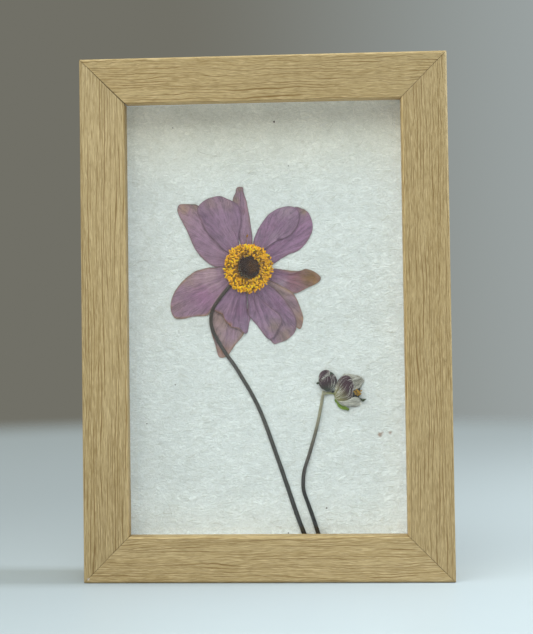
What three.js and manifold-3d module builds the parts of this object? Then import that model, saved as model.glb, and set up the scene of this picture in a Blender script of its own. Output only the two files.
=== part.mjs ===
// Pressed flower frame: a pressed Japanese anemone and its bud stem, mounted on handmade
// paper behind glass, in a small free-standing picture frame with an oak finish.
// Millimetres, +Z up. The front faces -Y, and the origin is on the table under the frame's middle.

import * as THREE from "three";
import { mergeVertices } from "three/addons/utils/BufferGeometryUtils.js";
import Module from "manifold-3d";

const wasm = await Module();
wasm.setup();

// Frame: a 15 mm face round a standard 10 x 15 cm picture.
const FRAME_WIDTH = 120;
const FRAME_HEIGHT = 171;
const FRAME_DEPTH = 22;
const FACE_WIDTH = 15;
const WALL_THICKNESS = 8.5;
const LIP_DEPTH = 4.5;
const OUTER_ARRIS = 0.9;
const INNER_ARRIS = 0.8;
const BACK_ARRIS = 0.5;
const MITRE_GAP = 0.3;
const ARC_STEPS = 6;

// What the rebate holds, from the lip backwards. FIT_GAP is left between touching pieces.
const FIT_GAP = 0.3;
const GLASS_THICKNESS = 2;
const FLOWER_ROOM = 2.4;
const SPACER_THICKNESS = 2;
const SPACER_SETBACK = 0.2;
const STEM_NOTCH = { x: 14.6, width: 9, depth: 3 };
const PAPER_WIDTH = 102;
const PAPER_HEIGHT = 152.4;
const PAPER_THICKNESS = 0.8;
const BOARD_THICKNESS = 3;

// Steel glazing points, driven into the rebate wall behind the board.
const POINT_WIDTH = 8;
const POINT_REACH = 7.5;
const POINT_BITE = 4.2;
const POINT_THICKNESS = 0.5;
const SIDE_POINT_SPACING = 84;

// Pressed flower: petals lie in layers on the paper, with the stem and the centre on top.
const FLOWER_CENTRE = { x: -5.5, z: 101.8 };
const PETAL_THICKNESS = 0.12;
const FIRST_LAYER = 0.08;
const LAYER_PITCH = 0.2;
const PETAL_STEPS = 3;
const STAMENS = { inner: 4.9, outer: 7.4, underside: 1.25, top: 2 };
const CARPELS = { x: 0.65, z: 0.6, radius: 3.8, top: 2.25, stalk: 1.4 };
const FLOWER_STEM = { width: 1.1, thickness: 0.55, steps: 46 };
const BUD_STEM = { width: 1.3, thickness: 0.7, steps: 26 };
const BUD_BRANCH = { width: 0.9, thickness: 0.6, steps: 6 };
const STEM_SIDES = 10;
const RESTING_GAP = 0.06;
const SMALL_BUD = { x: 19.4, z: 64.9, halfWidth: 3, halfHeight: 3.1, halfThickness: 0.85 };
const LARGE_BUD = { x: 27.4, z: 61.3, halfWidth: 4.8, halfHeight: 5.4, halfThickness: 0.95 };
const BRACT_THICKNESS = 0.4;

const apertureWidth = FRAME_WIDTH - 2 * WALL_THICKNESS;
const apertureHeight = FRAME_HEIGHT - 2 * WALL_THICKNESS;
const middleHeight = FRAME_HEIGHT / 2;
const spacerWidth = FACE_WIDTH - WALL_THICKNESS - FIT_GAP - SPACER_SETBACK;
const glassFront = LIP_DEPTH + FIT_GAP;
const paperFront = glassFront + GLASS_THICKNESS + FLOWER_ROOM;
const boardFront = paperFront + PAPER_THICKNESS + FIT_GAP;
const pointFront = boardFront + BOARD_THICKNESS + FIT_GAP;

// y of a plane that lies a given depth behind the frame's front face.
const behindFront = (depth) => depth - FRAME_DEPTH / 2;

function finish(color, roughness, metalness = 0) {
  return new THREE.MeshStandardMaterial({ color, roughness, metalness });
}

const OAK = finish(0xc4a878, 0.6);
const GLASS = new THREE.MeshStandardMaterial({
  color: 0xf2faf8,
  roughness: 0.05,
  metalness: 0,
  transparent: true,
  opacity: 0.2,
});
const HANDMADE_PAPER = finish(0xe6ebe2, 0.95);
const CARD = finish(0xe9e6dc, 0.9);
const HARDBOARD = finish(0x6e4e33, 0.8);
const STEEL = finish(0x9a9d9f, 0.4, 0.9);
const MAUVE = finish(0x937a92, 0.8);
const POLLEN_YELLOW = finish(0xe0a31c, 0.8);
const OLIVE_BROWN = finish(0x3d3a26, 0.9);
const DARK_GREEN = finish(0x3c433a, 0.8);
const BUD_GREY = finish(0x6f6468, 0.9);
const LEAF_GREEN = finish(0x6d8a2f, 0.8);

// manifold-3d joins and cuts; everything is drawn with three.js geometries.
function toSolid(geometry) {
  const bare = new THREE.BufferGeometry();
  bare.setAttribute("position", geometry.getAttribute("position"));
  bare.setIndex(geometry.index);
  const merged = mergeVertices(bare, 1e-4);
  return new wasm.Manifold(
    new wasm.Mesh({
      numProp: 3,
      vertProperties: merged.attributes.position.array,
      triVerts: new Uint32Array(merged.index.array),
    }),
  );
}

function toGeometry(solid) {
  const { vertProperties, triVerts } = solid.getMesh();
  const geometry = new THREE.BufferGeometry();
  geometry.setAttribute("position", new THREE.BufferAttribute(vertProperties, 3));
  geometry.setIndex(new THREE.BufferAttribute(triVerts, 1));
  geometry.computeVertexNormals();
  return geometry;
}

function part(name, geometry, material) {
  const mesh = new THREE.Mesh(geometry, material);
  mesh.name = name;
  return mesh;
}

// A flat piece standing in the XZ plane: its outline is in x and z, and it is as thick as said
// towards the viewer from where it is placed.
function flatPiece(name, outline, thickness, material, steps) {
  const geometry = new THREE.ExtrudeGeometry(outline, {
    depth: thickness,
    bevelEnabled: false,
    curveSegments: steps,
  });
  geometry.rotateX(Math.PI / 2);
  return part(name, geometry, material);
}

// ---- Frame rails ----
// A rail is drawn lying along X with its outer edge at z = 0 and its front at -Y, then turned.

function railProfile() {
  const profile = new THREE.Shape();
  profile.moveTo(OUTER_ARRIS, 0);
  profile.lineTo(FRAME_DEPTH - BACK_ARRIS, 0);
  profile.absarc(FRAME_DEPTH - BACK_ARRIS, -BACK_ARRIS, BACK_ARRIS, Math.PI / 2, 0, true);
  profile.lineTo(FRAME_DEPTH, -WALL_THICKNESS);
  profile.lineTo(LIP_DEPTH, -WALL_THICKNESS);
  profile.lineTo(LIP_DEPTH, -FACE_WIDTH);
  profile.lineTo(INNER_ARRIS, -FACE_WIDTH);
  profile.absarc(INNER_ARRIS, INNER_ARRIS - FACE_WIDTH, INNER_ARRIS, -Math.PI / 2, -Math.PI, true);
  profile.lineTo(0, -OUTER_ARRIS);
  profile.absarc(OUTER_ARRIS, -OUTER_ARRIS, OUTER_ARRIS, Math.PI, Math.PI / 2, true);
  return profile;
}

// The profile is drawn out along X, and each end slopes in by as much as it comes inwards.
function mitredRail(length) {
  const geometry = new THREE.ExtrudeGeometry(railProfile(), {
    depth: 1,
    bevelEnabled: false,
    curveSegments: ARC_STEPS,
  });
  const halfLength = length / 2 - MITRE_GAP / Math.SQRT2;
  const position = geometry.getAttribute("position");
  for (let i = 0; i < position.count; i++) {
    const end = position.getZ(i) > 0.5 ? 1 : -1;
    const depth = position.getX(i);
    const outward = position.getY(i);
    position.setXYZ(i, end * (halfLength + outward), behindFront(depth), outward);
  }
  return geometry;
}

function pointSlot(along) {
  const depth = POINT_BITE + FIT_GAP;
  const slot = new THREE.BoxGeometry(
    POINT_WIDTH + 2 * FIT_GAP,
    POINT_THICKNESS + 2 * FIT_GAP,
    2 * depth,
  );
  slot.translate(along, behindFront(pointFront + POINT_THICKNESS / 2), -WALL_THICKNESS);
  return slot;
}

// A blade with a round end that lies over the board; its square end is in the slot.
function glazingPoint(name, along) {
  const half = POINT_WIDTH / 2;
  const tip = -WALL_THICKNESS - POINT_REACH;
  const blade = new THREE.Shape();
  blade.moveTo(half, POINT_BITE - WALL_THICKNESS);
  blade.lineTo(-half, POINT_BITE - WALL_THICKNESS);
  blade.lineTo(-half, tip + half);
  blade.absarc(0, tip + half, half, Math.PI, 2 * Math.PI, false);
  const mesh = flatPiece(name, blade, POINT_THICKNESS, STEEL, ARC_STEPS);
  mesh.position.set(along, behindFront(pointFront + POINT_THICKNESS), 0);
  return mesh;
}

function rail(side, length, turn, x, z, pointPlaces) {
  const group = new THREE.Group();
  let solid = toSolid(mitredRail(length));
  pointPlaces.forEach((along, i) => {
    solid = solid.subtract(toSolid(pointSlot(along)));
    const suffix = pointPlaces.length > 1 ? `_${i + 1}` : "";
    group.add(glazingPoint(`glazing_point_${side}${suffix}`, along));
  });
  group.add(part(`rail_${side}`, toGeometry(solid), OAK));
  group.rotation.y = turn;
  group.position.set(x, 0, z);
  return group;
}

function frame() {
  const quarter = Math.PI / 2;
  const sidePoints = [-SIDE_POINT_SPACING / 2, SIDE_POINT_SPACING / 2];
  const group = new THREE.Group();
  group.add(
    rail("top", FRAME_WIDTH, 0, 0, FRAME_HEIGHT, [0]),
    rail("bottom", FRAME_WIDTH, 2 * quarter, 0, 0, [0]),
    rail("left", FRAME_HEIGHT, -quarter, -FRAME_WIDTH / 2, middleHeight, sidePoints),
    rail("right", FRAME_HEIGHT, quarter, FRAME_WIDTH / 2, middleHeight, sidePoints),
  );
  return group;
}

// ---- Glass, spacers, paper and backing board ----

function slab(name, width, height, thickness, frontDepth, material) {
  const mesh = part(name, new THREE.BoxGeometry(width, thickness, height), material);
  mesh.position.set(0, behindFront(frontDepth + thickness / 2), middleHeight);
  return mesh;
}

// The bottom strip is cut away where the stems run under the lip.
function notched(strip) {
  const notch = new THREE.BoxGeometry(
    STEM_NOTCH.width,
    2 * SPACER_THICKNESS,
    2 * STEM_NOTCH.depth,
  );
  notch.translate(STEM_NOTCH.x, 0, spacerWidth / 2);
  strip.geometry = toGeometry(toSolid(strip.geometry).subtract(toSolid(notch)));
  return strip;
}

// Strips of white card behind the lip, almost flush with it, keep the paper off the glass.
function spacers() {
  const group = new THREE.Group();
  const depth = glassFront + GLASS_THICKNESS + (FLOWER_ROOM - SPACER_THICKNESS) / 2;
  const outerWidth = apertureWidth - 2 * FIT_GAP;
  const outerHeight = apertureHeight - 2 * FIT_GAP;
  const sideLength = outerHeight - 2 * spacerWidth - 2 * FIT_GAP;
  for (const [side, sign] of [["bottom", -1], ["top", 1]]) {
    const strip = slab(`spacer_${side}`, outerWidth, spacerWidth, SPACER_THICKNESS, depth, CARD);
    strip.position.z += (sign * (outerHeight - spacerWidth)) / 2;
    group.add(side === "bottom" ? notched(strip) : strip);
  }
  for (const [side, sign] of [["left", -1], ["right", 1]]) {
    const strip = slab(`spacer_${side}`, spacerWidth, sideLength, SPACER_THICKNESS, depth, CARD);
    strip.position.x = (sign * (outerWidth - spacerWidth)) / 2;
    group.add(strip);
  }
  return group;
}

function glazing() {
  const width = apertureWidth - 2 * FIT_GAP;
  const height = apertureHeight - 2 * FIT_GAP;
  const group = new THREE.Group();
  group.add(
    slab("glass_pane", width, height, GLASS_THICKNESS, glassFront, GLASS),
    spacers(),
    slab("paper_sheet", PAPER_WIDTH, PAPER_HEIGHT, PAPER_THICKNESS, paperFront, HANDMADE_PAPER),
    slab("backing_board", width, height, BOARD_THICKNESS, boardFront, HARDBOARD),
  );
  return group;
}

// ---- Pressed flower ----
// Outlines are in x and z from the flower's centre. Each starts and ends at the petal's claw,
// which is hidden under the stamens, and goes once round the petal.

const PETALS = [
  {
    name: "petal_upper_left_back",
    layer: 0,
    outline: [
      [-2.4, 1.2], [-5.5, 0.8], [-9.5, 0.6], [-12.4, 1.4], [-16.9, 5.8], [-20, 12.8], [-22.6, 18],
      [-23, 20.4], [-21.8, 21.6], [-18.3, 21.5], [-16, 20.9], [-12.5, 17], [-8, 10], [-4.4, 4.4],
    ],
  },
  {
    name: "petal_upper_left_front",
    layer: 1,
    outline: [
      [-1.4, 2.2], [-4.6, 4], [-8.2, 6.3], [-10.3, 8.8], [-12.3, 10.6], [-14, 13.2], [-15.3, 16.2],
      [-16.4, 18.2], [-16.2, 20.6], [-14, 22.7], [-11.4, 23.7], [-8.9, 24], [-6.4, 23],
      [-3.6, 21.6], [-2.3, 19.6], [-1.9, 17.2], [-2.3, 13.2], [-2.9, 9.2], [-2.2, 5.2],
    ],
  },
  {
    name: "petal_top",
    layer: 0,
    outline: [
      [-0.2, 2.6], [-2, 7], [-3.6, 13], [-4.6, 18.5], [-4.8, 22.6], [-3.8, 25], [-3.3, 26.7],
      [-1.4, 26.8], [-1.1, 25.2], [-0.1, 21.8], [0.9, 16], [1.6, 10], [1.3, 5.5],
    ],
  },
  {
    name: "petal_upper_right_front",
    layer: 1,
    outline: [
      [1.7, 2.1], [1.7, 5.5], [2, 9.2], [3.8, 13.3], [6.7, 17.2], [9.8, 19.4], [13.4, 20.2],
      [15.8, 19.6], [17.2, 17.6], [16.9, 14.9], [16, 12.6], [13.4, 10.1], [10.3, 9], [7, 7.1],
      [4, 4.3],
    ],
  },
  {
    name: "petal_upper_right_back",
    layer: 0,
    outline: [
      [2.5, 1.5], [5, 6], [8.5, 12], [12, 17.2], [15.6, 19.8], [17.8, 19.4], [19.7, 18.4],
      [20.7, 16.8], [21.4, 14.3], [21.3, 12], [20.4, 9.8], [18.6, 7.2], [16.5, 5.4], [14, 4.5],
      [11.2, 3], [8.6, 1.4], [5.2, 0.8],
    ],
  },
  {
    name: "petal_right",
    layer: 0,
    outline: [
      [2.7, -0.4], [5.5, -0.2], [8.4, -0.2], [11.2, -0.6], [14.2, -1.1], [17, -1.2], [19.2, -0.6],
      [22, -1.6], [23.9, -3.6], [22.5, -5.4], [19, -7], [15.7, -8.5], [12, -8.2], [8.5, -5.8],
      [5.2, -2.6],
    ],
  },
  {
    name: "petal_lower_right_back",
    layer: 1,
    outline: [
      [2.1, -1.9], [5, -3], [8, -4.5], [11, -6], [13.6, -7.5], [15.4, -9.2], [16.8, -12.6],
      [17.9, -16.2], [17.7, -18.6], [16.9, -20.2], [15.4, -19.4], [13, -16], [9, -10.5],
      [5.2, -5.6],
    ],
  },
  {
    name: "petal_lower_right_middle",
    layer: 2,
    outline: [
      [1.6, -2.4], [5, -4.4], [9, -7.2], [12.6, -11.2], [14.9, -15], [15.7, -17.6], [15.5, -20.4],
      [14.3, -22.3], [12.2, -23.9], [10, -24.6], [8.4, -25.1], [7, -23.6], [5, -19], [3.5, -14],
      [2.2, -8],
    ],
  },
  {
    name: "petal_lower_right_front",
    layer: 3,
    outline: [
      [0.8, -2.7], [2.6, -8.4], [4, -9.8], [5.9, -11.7], [8.4, -13.9], [10.2, -15.3],
      [11.1, -17.2], [10.3, -19.2], [9.2, -21.3], [8.3, -22.6], [7, -23.4], [5.8, -23],
      [3, -19.2], [0.8, -16.6], [-0.2, -15], [-0.2, -12], [-0.2, -8.5], [0.1, -5],
    ],
  },
  {
    name: "petal_bottom_front",
    layer: 2,
    outline: [
      [-0.9, -2.6], [-0.6, -6], [-0.4, -11], [-0.1, -14.6], [0.6, -16.6], [0.2, -18.4],
      [-0.4, -21.3], [-1.5, -21.5], [-2.4, -20.7], [-3.5, -19.8], [-5.7, -19.4], [-6.6, -18.3],
      [-7.6, -17.5], [-8.2, -16.3], [-8.7, -15.1], [-10, -14.3], [-11.3, -13.6], [-11, -12],
      [-9.3, -9.6], [-6.4, -6.2], [-3.6, -4],
    ],
  },
  {
    name: "petal_bottom_back",
    layer: 0,
    outline: [
      [-1.3, -2.4], [-1.5, -8], [-1.8, -15], [-1.4, -21.2], [-4.4, -25], [-6.5, -28.2],
      [-8, -29.2], [-10, -29], [-10.9, -25.4], [-12.2, -21.5], [-12.9, -17.8], [-12.6, -15],
      [-11, -11.8], [-7.2, -7.2], [-3.6, -4],
    ],
  },
  {
    name: "petal_left",
    layer: 1,
    outline: [
      [-2.5, -0.9], [-5.5, 0.1], [-8.8, 0.6], [-12.6, 0.4], [-15.6, -0.2], [-18.3, -1.3],
      [-22.3, -4.7], [-25, -8.9], [-25.7, -13], [-24.5, -15.9], [-22.1, -16.5], [-17.9, -15.7],
      [-13.6, -15.4], [-12, -13.4], [-9.2, -9.2], [-6, -5.2],
    ],
  },
];

// Stem centre lines: x, z and the height of the underside above the paper, from the flower's
// centre for the flower stem and from the frame's origin for the bud stem.
const FLOWER_STEM_ROUTE = [
  [-1.3, -1.6, 0.68],
  [-3.6, -3.5, 0.68],
  [-6.3, -6.1, 0.66],
  [-9.6, -10, 0.66],
  [-11.7, -13.3, 0.64],
  [-12.4, -16.7, 0.5],
  [-11.9, -20.2, 0.36],
  [-10, -24, 0.28],
  [-7.4, -28.3, 0.26],
  [-3.7, -33.7, 0.12],
  [3.1, -46.2, RESTING_GAP],
  [9.1, -63, RESTING_GAP],
  [14.8, -80.4, RESTING_GAP],
  [17.9, -89, RESTING_GAP],
];
const BUD_STEM_ROUTE = [
  [18.8, 61.2, RESTING_GAP],
  [18.1, 57.7, RESTING_GAP],
  [16.7, 51, RESTING_GAP],
  [15.3, 45.8, RESTING_GAP],
  [13.6, 40.2, RESTING_GAP],
  [12.1, 35.6, RESTING_GAP],
  [11.6, 31.8, RESTING_GAP],
  [11.8, 28.5, RESTING_GAP],
  [13.2, 24.3, RESTING_GAP],
  [14.9, 19.2, RESTING_GAP],
  [16.8, 12.9, RESTING_GAP],
];
const BUD_BRANCH_ROUTE = [
  [18.7, 60.2, RESTING_GAP],
  [20.4, 60.6, RESTING_GAP],
  [22.3, 60.4, RESTING_GAP],
];
const BRACT_OUTLINE = [
  [21.9, 58.9], [22.9, 57.2], [24, 55.9], [25.6, 55], [27.2, 54.5], [27.3, 55.2], [26.2, 55.5],
  [24.9, 56.2], [23.8, 57.4], [22.9, 58.7],
];

function closedOutline(points) {
  const outline = new THREE.Shape();
  outline.moveTo(...points[0]);
  outline.splineThru([...points.slice(1), points[0]].map(([x, z]) => new THREE.Vector2(x, z)));
  return outline;
}

function petal({ name, layer, outline }) {
  const mesh = flatPiece(name, closedOutline(outline), PETAL_THICKNESS, MAUVE, PETAL_STEPS);
  mesh.position.y = -(FIRST_LAYER + layer * LAYER_PITCH);
  return mesh;
}

// A tube of flattened round section that lies along a route on the paper.
function stalkGeometry(route, { width, thickness, steps }) {
  const points = route.map(
    ([x, z, underside]) => new THREE.Vector3(x, -(underside + thickness / 2), z),
  );
  const section = new THREE.Shape(
    new THREE.EllipseCurve(0, 0, thickness / 2, width / 2, 0, 2 * Math.PI)
      .getPoints(STEM_SIDES)
      .slice(0, STEM_SIDES),
  );
  return new THREE.ExtrudeGeometry(section, {
    steps,
    extrudePath: new THREE.CatmullRomCurve3(points, false, "centripetal"),
  });
}

function turnedAbout(profile, sides) {
  const points = profile.map(([radius, height]) => new THREE.Vector2(radius, -height));
  return new THREE.LatheGeometry(points, sides);
}

// The dome of carpels, on the stalk that the petals spring from.
function carpels() {
  const { x, z, radius, top, stalk } = CARPELS;
  const skirt = STAMENS.underside + 0.05;
  const rise = top - skirt;
  const profile = [
    [0, top],
    [0.45 * radius, top - 0.06 * rise],
    [0.75 * radius, top - 0.28 * rise],
    [0.94 * radius, top - 0.6 * rise],
    [radius, skirt],
    [stalk, skirt],
    [stalk, FIRST_LAYER],
    [0, FIRST_LAYER],
  ];
  const mesh = part("flower_centre", turnedAbout(profile, 24), OLIVE_BROWN);
  mesh.position.set(x, 0, z);
  return mesh;
}

// The mass of stamens, as one low ring with rounded shoulders.
function stamens() {
  const { inner, outer, underside, top } = STAMENS;
  const shoulder = 0.4;
  const profile = [
    [inner, underside],
    [inner, top - shoulder],
    [inner + shoulder, top],
    [outer - shoulder, top],
    [outer, top - shoulder],
    [outer, underside],
    [inner, underside],
  ];
  return part("stamens", turnedAbout(profile, 36), POLLEN_YELLOW);
}

function flower() {
  const group = new THREE.Group();
  group.add(...PETALS.map(petal), carpels(), stamens());
  group.add(part("flower_stem", stalkGeometry(FLOWER_STEM_ROUTE, FLOWER_STEM), DARK_GREEN));
  group.position.set(FLOWER_CENTRE.x, 0, FLOWER_CENTRE.z);
  return group;
}

// ---- Bud stem ----

function bud(name, { x, z, halfWidth, halfHeight, halfThickness }) {
  const geometry = new THREE.SphereGeometry(1, 20, 12);
  geometry.scale(halfWidth, halfThickness, halfHeight);
  const mesh = part(name, geometry, BUD_GREY);
  mesh.position.set(x, -(RESTING_GAP + halfThickness), z);
  return mesh;
}

function budStem() {
  const stem = toSolid(stalkGeometry(BUD_STEM_ROUTE, BUD_STEM));
  const branch = toSolid(stalkGeometry(BUD_BRANCH_ROUTE, BUD_BRANCH));
  return part("bud_stem", toGeometry(stem.add(branch)), DARK_GREEN);
}

function bract() {
  const outline = closedOutline(BRACT_OUTLINE);
  const mesh = flatPiece("bud_bract", outline, BRACT_THICKNESS, LEAF_GREEN, PETAL_STEPS);
  mesh.position.y = -RESTING_GAP;
  return mesh;
}

function specimen() {
  const group = new THREE.Group();
  group.add(flower(), budStem(), bud("bud_small", SMALL_BUD), bud("bud_large", LARGE_BUD), bract());
  group.position.y = behindFront(paperFront);
  return group;
}

const pressedFlowerFrame = new THREE.Group();
pressedFlowerFrame.name = "pressed_flower_frame";
pressedFlowerFrame.add(frame(), glazing(), specimen());

export default pressedFlowerFrame;
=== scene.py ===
"""Pressed flower frame: the looks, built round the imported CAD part.

The scene is in metres in the part's own frame: +Z is up, the glass faces -Y, and the origin is on
the table under the middle of the frame. Shapes are worked out in millimetres and scaled at the end.
"""

import math
import random
from typing import NamedTuple

import bmesh
import bpy
import numpy as np
from mathutils import Matrix, Vector, noise


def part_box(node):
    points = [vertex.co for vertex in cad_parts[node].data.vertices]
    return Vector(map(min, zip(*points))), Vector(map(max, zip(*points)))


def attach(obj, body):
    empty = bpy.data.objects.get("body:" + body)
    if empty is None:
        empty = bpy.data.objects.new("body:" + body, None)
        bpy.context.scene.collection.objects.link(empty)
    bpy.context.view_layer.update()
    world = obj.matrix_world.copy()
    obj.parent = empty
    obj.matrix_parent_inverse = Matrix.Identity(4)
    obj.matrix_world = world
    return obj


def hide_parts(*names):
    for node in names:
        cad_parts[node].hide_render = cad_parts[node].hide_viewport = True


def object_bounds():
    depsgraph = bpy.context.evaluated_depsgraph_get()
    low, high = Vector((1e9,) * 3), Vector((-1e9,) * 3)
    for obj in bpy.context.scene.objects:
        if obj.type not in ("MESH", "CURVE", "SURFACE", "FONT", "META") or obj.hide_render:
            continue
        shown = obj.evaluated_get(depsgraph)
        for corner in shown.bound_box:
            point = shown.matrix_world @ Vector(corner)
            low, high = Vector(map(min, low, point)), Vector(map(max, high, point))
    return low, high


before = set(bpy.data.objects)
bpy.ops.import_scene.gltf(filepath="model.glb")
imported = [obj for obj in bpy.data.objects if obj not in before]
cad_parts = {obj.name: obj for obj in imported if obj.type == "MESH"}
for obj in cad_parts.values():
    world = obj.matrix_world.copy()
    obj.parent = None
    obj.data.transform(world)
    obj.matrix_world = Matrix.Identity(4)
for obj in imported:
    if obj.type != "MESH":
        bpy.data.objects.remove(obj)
cad_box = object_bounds()

MM = 0.001


def box_mm(node):
    """The lowest and highest corner of a CAD node, in millimetres."""
    low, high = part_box(node)
    return np.array(low) / MM, np.array(high) / MM


FRAME_LOW, FRAME_HIGH = (np.array(corner) / MM for corner in cad_box)
FRAME_WIDTH, FRAME_DEPTH, FRAME_HEIGHT = FRAME_HIGH - FRAME_LOW
PAPER_FRONT = box_mm("paper_sheet")[0][1]
FLOWER_X, _, FLOWER_Z = np.mean(box_mm("stamens"), axis=0)


def node_outline(node):
    """The outline of a flat CAD node's front, as points in x and z."""
    front = box_mm(node)[0][1]
    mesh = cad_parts[node].data
    places = [(round(v.co.x / MM, 4), round(v.co.z / MM, 4)) for v in mesh.vertices]
    on_front = [abs(v.co.y / MM - front) < 1e-3 for v in mesh.vertices]
    edges = set()
    for face in mesh.polygons:
        if all(on_front[i] for i in face.vertices):
            corners = [places[i] for i in face.vertices]
            edges.update(zip(corners, corners[1:] + corners[:1]))
    onward = {a: b for a, b in edges if (b, a) not in edges}
    outline = [min(onward)]
    while onward[outline[-1]] != outline[0]:
        outline.append(onward[outline[-1]])
    return np.array(outline)


# ---- Meshes ----
# A mesh is gathered from arrays of points in millimetres. Each point can carry named values that
# the materials read: a number, or a colour in three parts.


def grid_faces(rows, columns, closed=False, first=0):
    """Four-sided faces between the points of a grid, closed round its columns if said."""
    faces = []
    for row in range(rows - 1):
        for column in range(columns if closed else columns - 1):
            after = (column + 1) % columns
            a = first + row * columns
            b = a + columns
            faces.append((a + column, a + after, b + after, b + column))
    return faces


def grid_rim(rows, columns):
    """The points once round the edge of a grid."""
    rim = [row * columns for row in range(rows)]
    rim += [(rows - 1) * columns + column for column in range(1, columns)]
    rim += [row * columns + columns - 1 for row in range(rows - 2, -1, -1)]
    return rim + list(range(columns - 2, 0, -1))


class Gathered:
    """Points, faces and point values that become one object."""

    def __init__(self):
        self.points = []
        self.faces = []
        self.values = {}
        self.count = 0

    def add(self, points, faces, **values):
        points = np.asarray(points, float).reshape(-1, 3)
        self.faces += [tuple(i + self.count for i in face) for face in faces]
        self.points.append(points)
        self.count += len(points)
        for name, value in values.items():
            value = np.asarray(value, float)
            if value.ndim == 0 or value.shape == (3,):
                value = np.broadcast_to(value, (len(points), *value.shape))
            self.values.setdefault(name, []).append(value)

    def tube(self, rings, **values):
        """A closed tube through rings of points, with flat ends."""
        rings = np.asarray(rings, float)
        count, around = rings.shape[:2]
        faces = grid_faces(count, around, closed=True)
        faces.append(tuple(reversed(range(around))))
        faces.append(tuple(range((count - 1) * around, count * around)))
        self.add(rings, faces, **values)

    def shell(self, front, back, **values):
        """A closed sheet between two grids of points with the same rows and columns."""
        rows, columns = front.shape[:2]
        size = rows * columns
        faces = grid_faces(rows, columns)
        faces += [tuple(reversed(face)) for face in grid_faces(rows, columns, first=size)]
        rim = grid_rim(rows, columns)
        for a, b in zip(rim, rim[1:] + rim[:1]):
            faces.append((a, b, b + size, a + size))
        points = np.concatenate([front.reshape(-1, 3), back.reshape(-1, 3)])
        self.add(points, faces, **{name: np.concatenate([v, v]) for name, v in values.items()})

    def block(self, front, depth):
        """A closed block behind a grid of points, with a flat back in one face."""
        rows, columns = front.shape[:2]
        faces = grid_faces(rows, columns)
        rim = grid_rim(rows, columns)
        size, count = rows * columns, len(rim)
        for i, (a, b) in enumerate(zip(rim, rim[1:] + rim[:1])):
            faces.append((a, b, size + (i + 1) % count, size + i))
        faces.append(tuple(range(size, size + count)))
        back = front.reshape(-1, 3)[rim]
        back[:, 1] = depth
        self.add(np.concatenate([front.reshape(-1, 3), back]), faces)

    def build(self, name, sharp_angle=35):
        mesh = bpy.data.meshes.new(name)
        mesh.from_pydata((np.concatenate(self.points) * MM).tolist(), [], self.faces)
        for key, parts in self.values.items():
            data = np.concatenate(parts)
            is_colour = data.ndim == 2
            if is_colour:
                data = np.column_stack([data, np.ones(len(data))])
            kind = "FLOAT_COLOR" if is_colour else "FLOAT"
            attribute = mesh.attributes.new(key, kind, "POINT")
            field = "color" if is_colour else "value"
            attribute.data.foreach_set(field, data.astype(np.float32).ravel())
        tidy_mesh(mesh, sharp_angle)
        return add_object(name, mesh)


def add_object(name, data):
    obj = bpy.data.objects.new(name, data)
    bpy.context.scene.collection.objects.link(obj)
    return obj


def tidy_mesh(mesh, sharp_angle):
    """Merges points that coincide, turns all faces outwards and smooths all but sharp edges."""
    work = bmesh.new()
    work.from_mesh(mesh)
    bmesh.ops.remove_doubles(work, verts=work.verts, dist=1e-7)
    bmesh.ops.recalc_face_normals(work, faces=work.faces)
    work.to_mesh(mesh)
    work.free()
    mesh.shade_smooth()
    mesh.set_sharp_from_angle(angle=math.radians(sharp_angle))


def finish_piece(obj, materials, slot, *nodes):
    """Gives a piece its materials and makes it ride in place of its CAD nodes."""
    for material in materials:
        obj.data.materials.append(material)
    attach(obj, "root")
    if nodes:
        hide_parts(*nodes)
    return obj


def smoothstep(low, high, value):
    share = np.clip((value - low) / (high - low), 0, 1)
    return share * share * (3 - 2 * share)


def turns(count):
    """Evenly spaced angles once round."""
    return np.linspace(0, 2 * math.pi, count, endpoint=False)


def oval(middle, half_x, half_z, count):
    """The x and z of points round an oval. Its half sizes can be arrays."""
    around = turns(count)
    return middle[0] + half_x * np.cos(around), middle[1] + half_z * np.sin(around)


def rough(x, z, per_mm, seed=0.0):
    """Smooth noise from -1 to 1 for an array of places on the paper."""
    places = zip(np.ravel(x) * per_mm, np.ravel(z) * per_mm)
    return np.array([noise.noise(Vector((a, b, seed))) for a, b in places]).reshape(np.shape(x))


def blend(a, b, share):
    """Colours a and b mixed for an array of shares."""
    share = np.asarray(share)[..., None]
    return np.asarray(a) * (1 - share) + np.asarray(b) * share


def walk(points, count):
    """A line's points spaced evenly along it."""
    points = np.asarray(points, float)
    lengths = np.linalg.norm(np.diff(points, axis=0), axis=1)
    travelled = np.concatenate([[0], np.cumsum(lengths)])
    wanted = np.linspace(0, travelled[-1], count)
    return np.column_stack([np.interp(wanted, travelled, axis) for axis in points.T])


def curved(points, count):
    """Evenly spaced points on a smooth curve through a few points."""
    points = np.asarray(points, float)
    padded = np.vstack([2 * points[0] - points[1], points, 2 * points[-1] - points[-2]])
    curve = []
    for before, a, b, after in zip(padded, padded[1:], padded[2:], padded[3:]):
        for t in np.linspace(0, 1, 12, endpoint=False):
            out, back = (b - before) / 2, (after - a) / 2
            curve.append(
                (2 * a - 2 * b + out + back) * t**3
                + (3 * b - 3 * a - 2 * out - back) * t**2
                + out * t
                + a
            )
    return walk(curve + [points[-1]], count)


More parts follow.
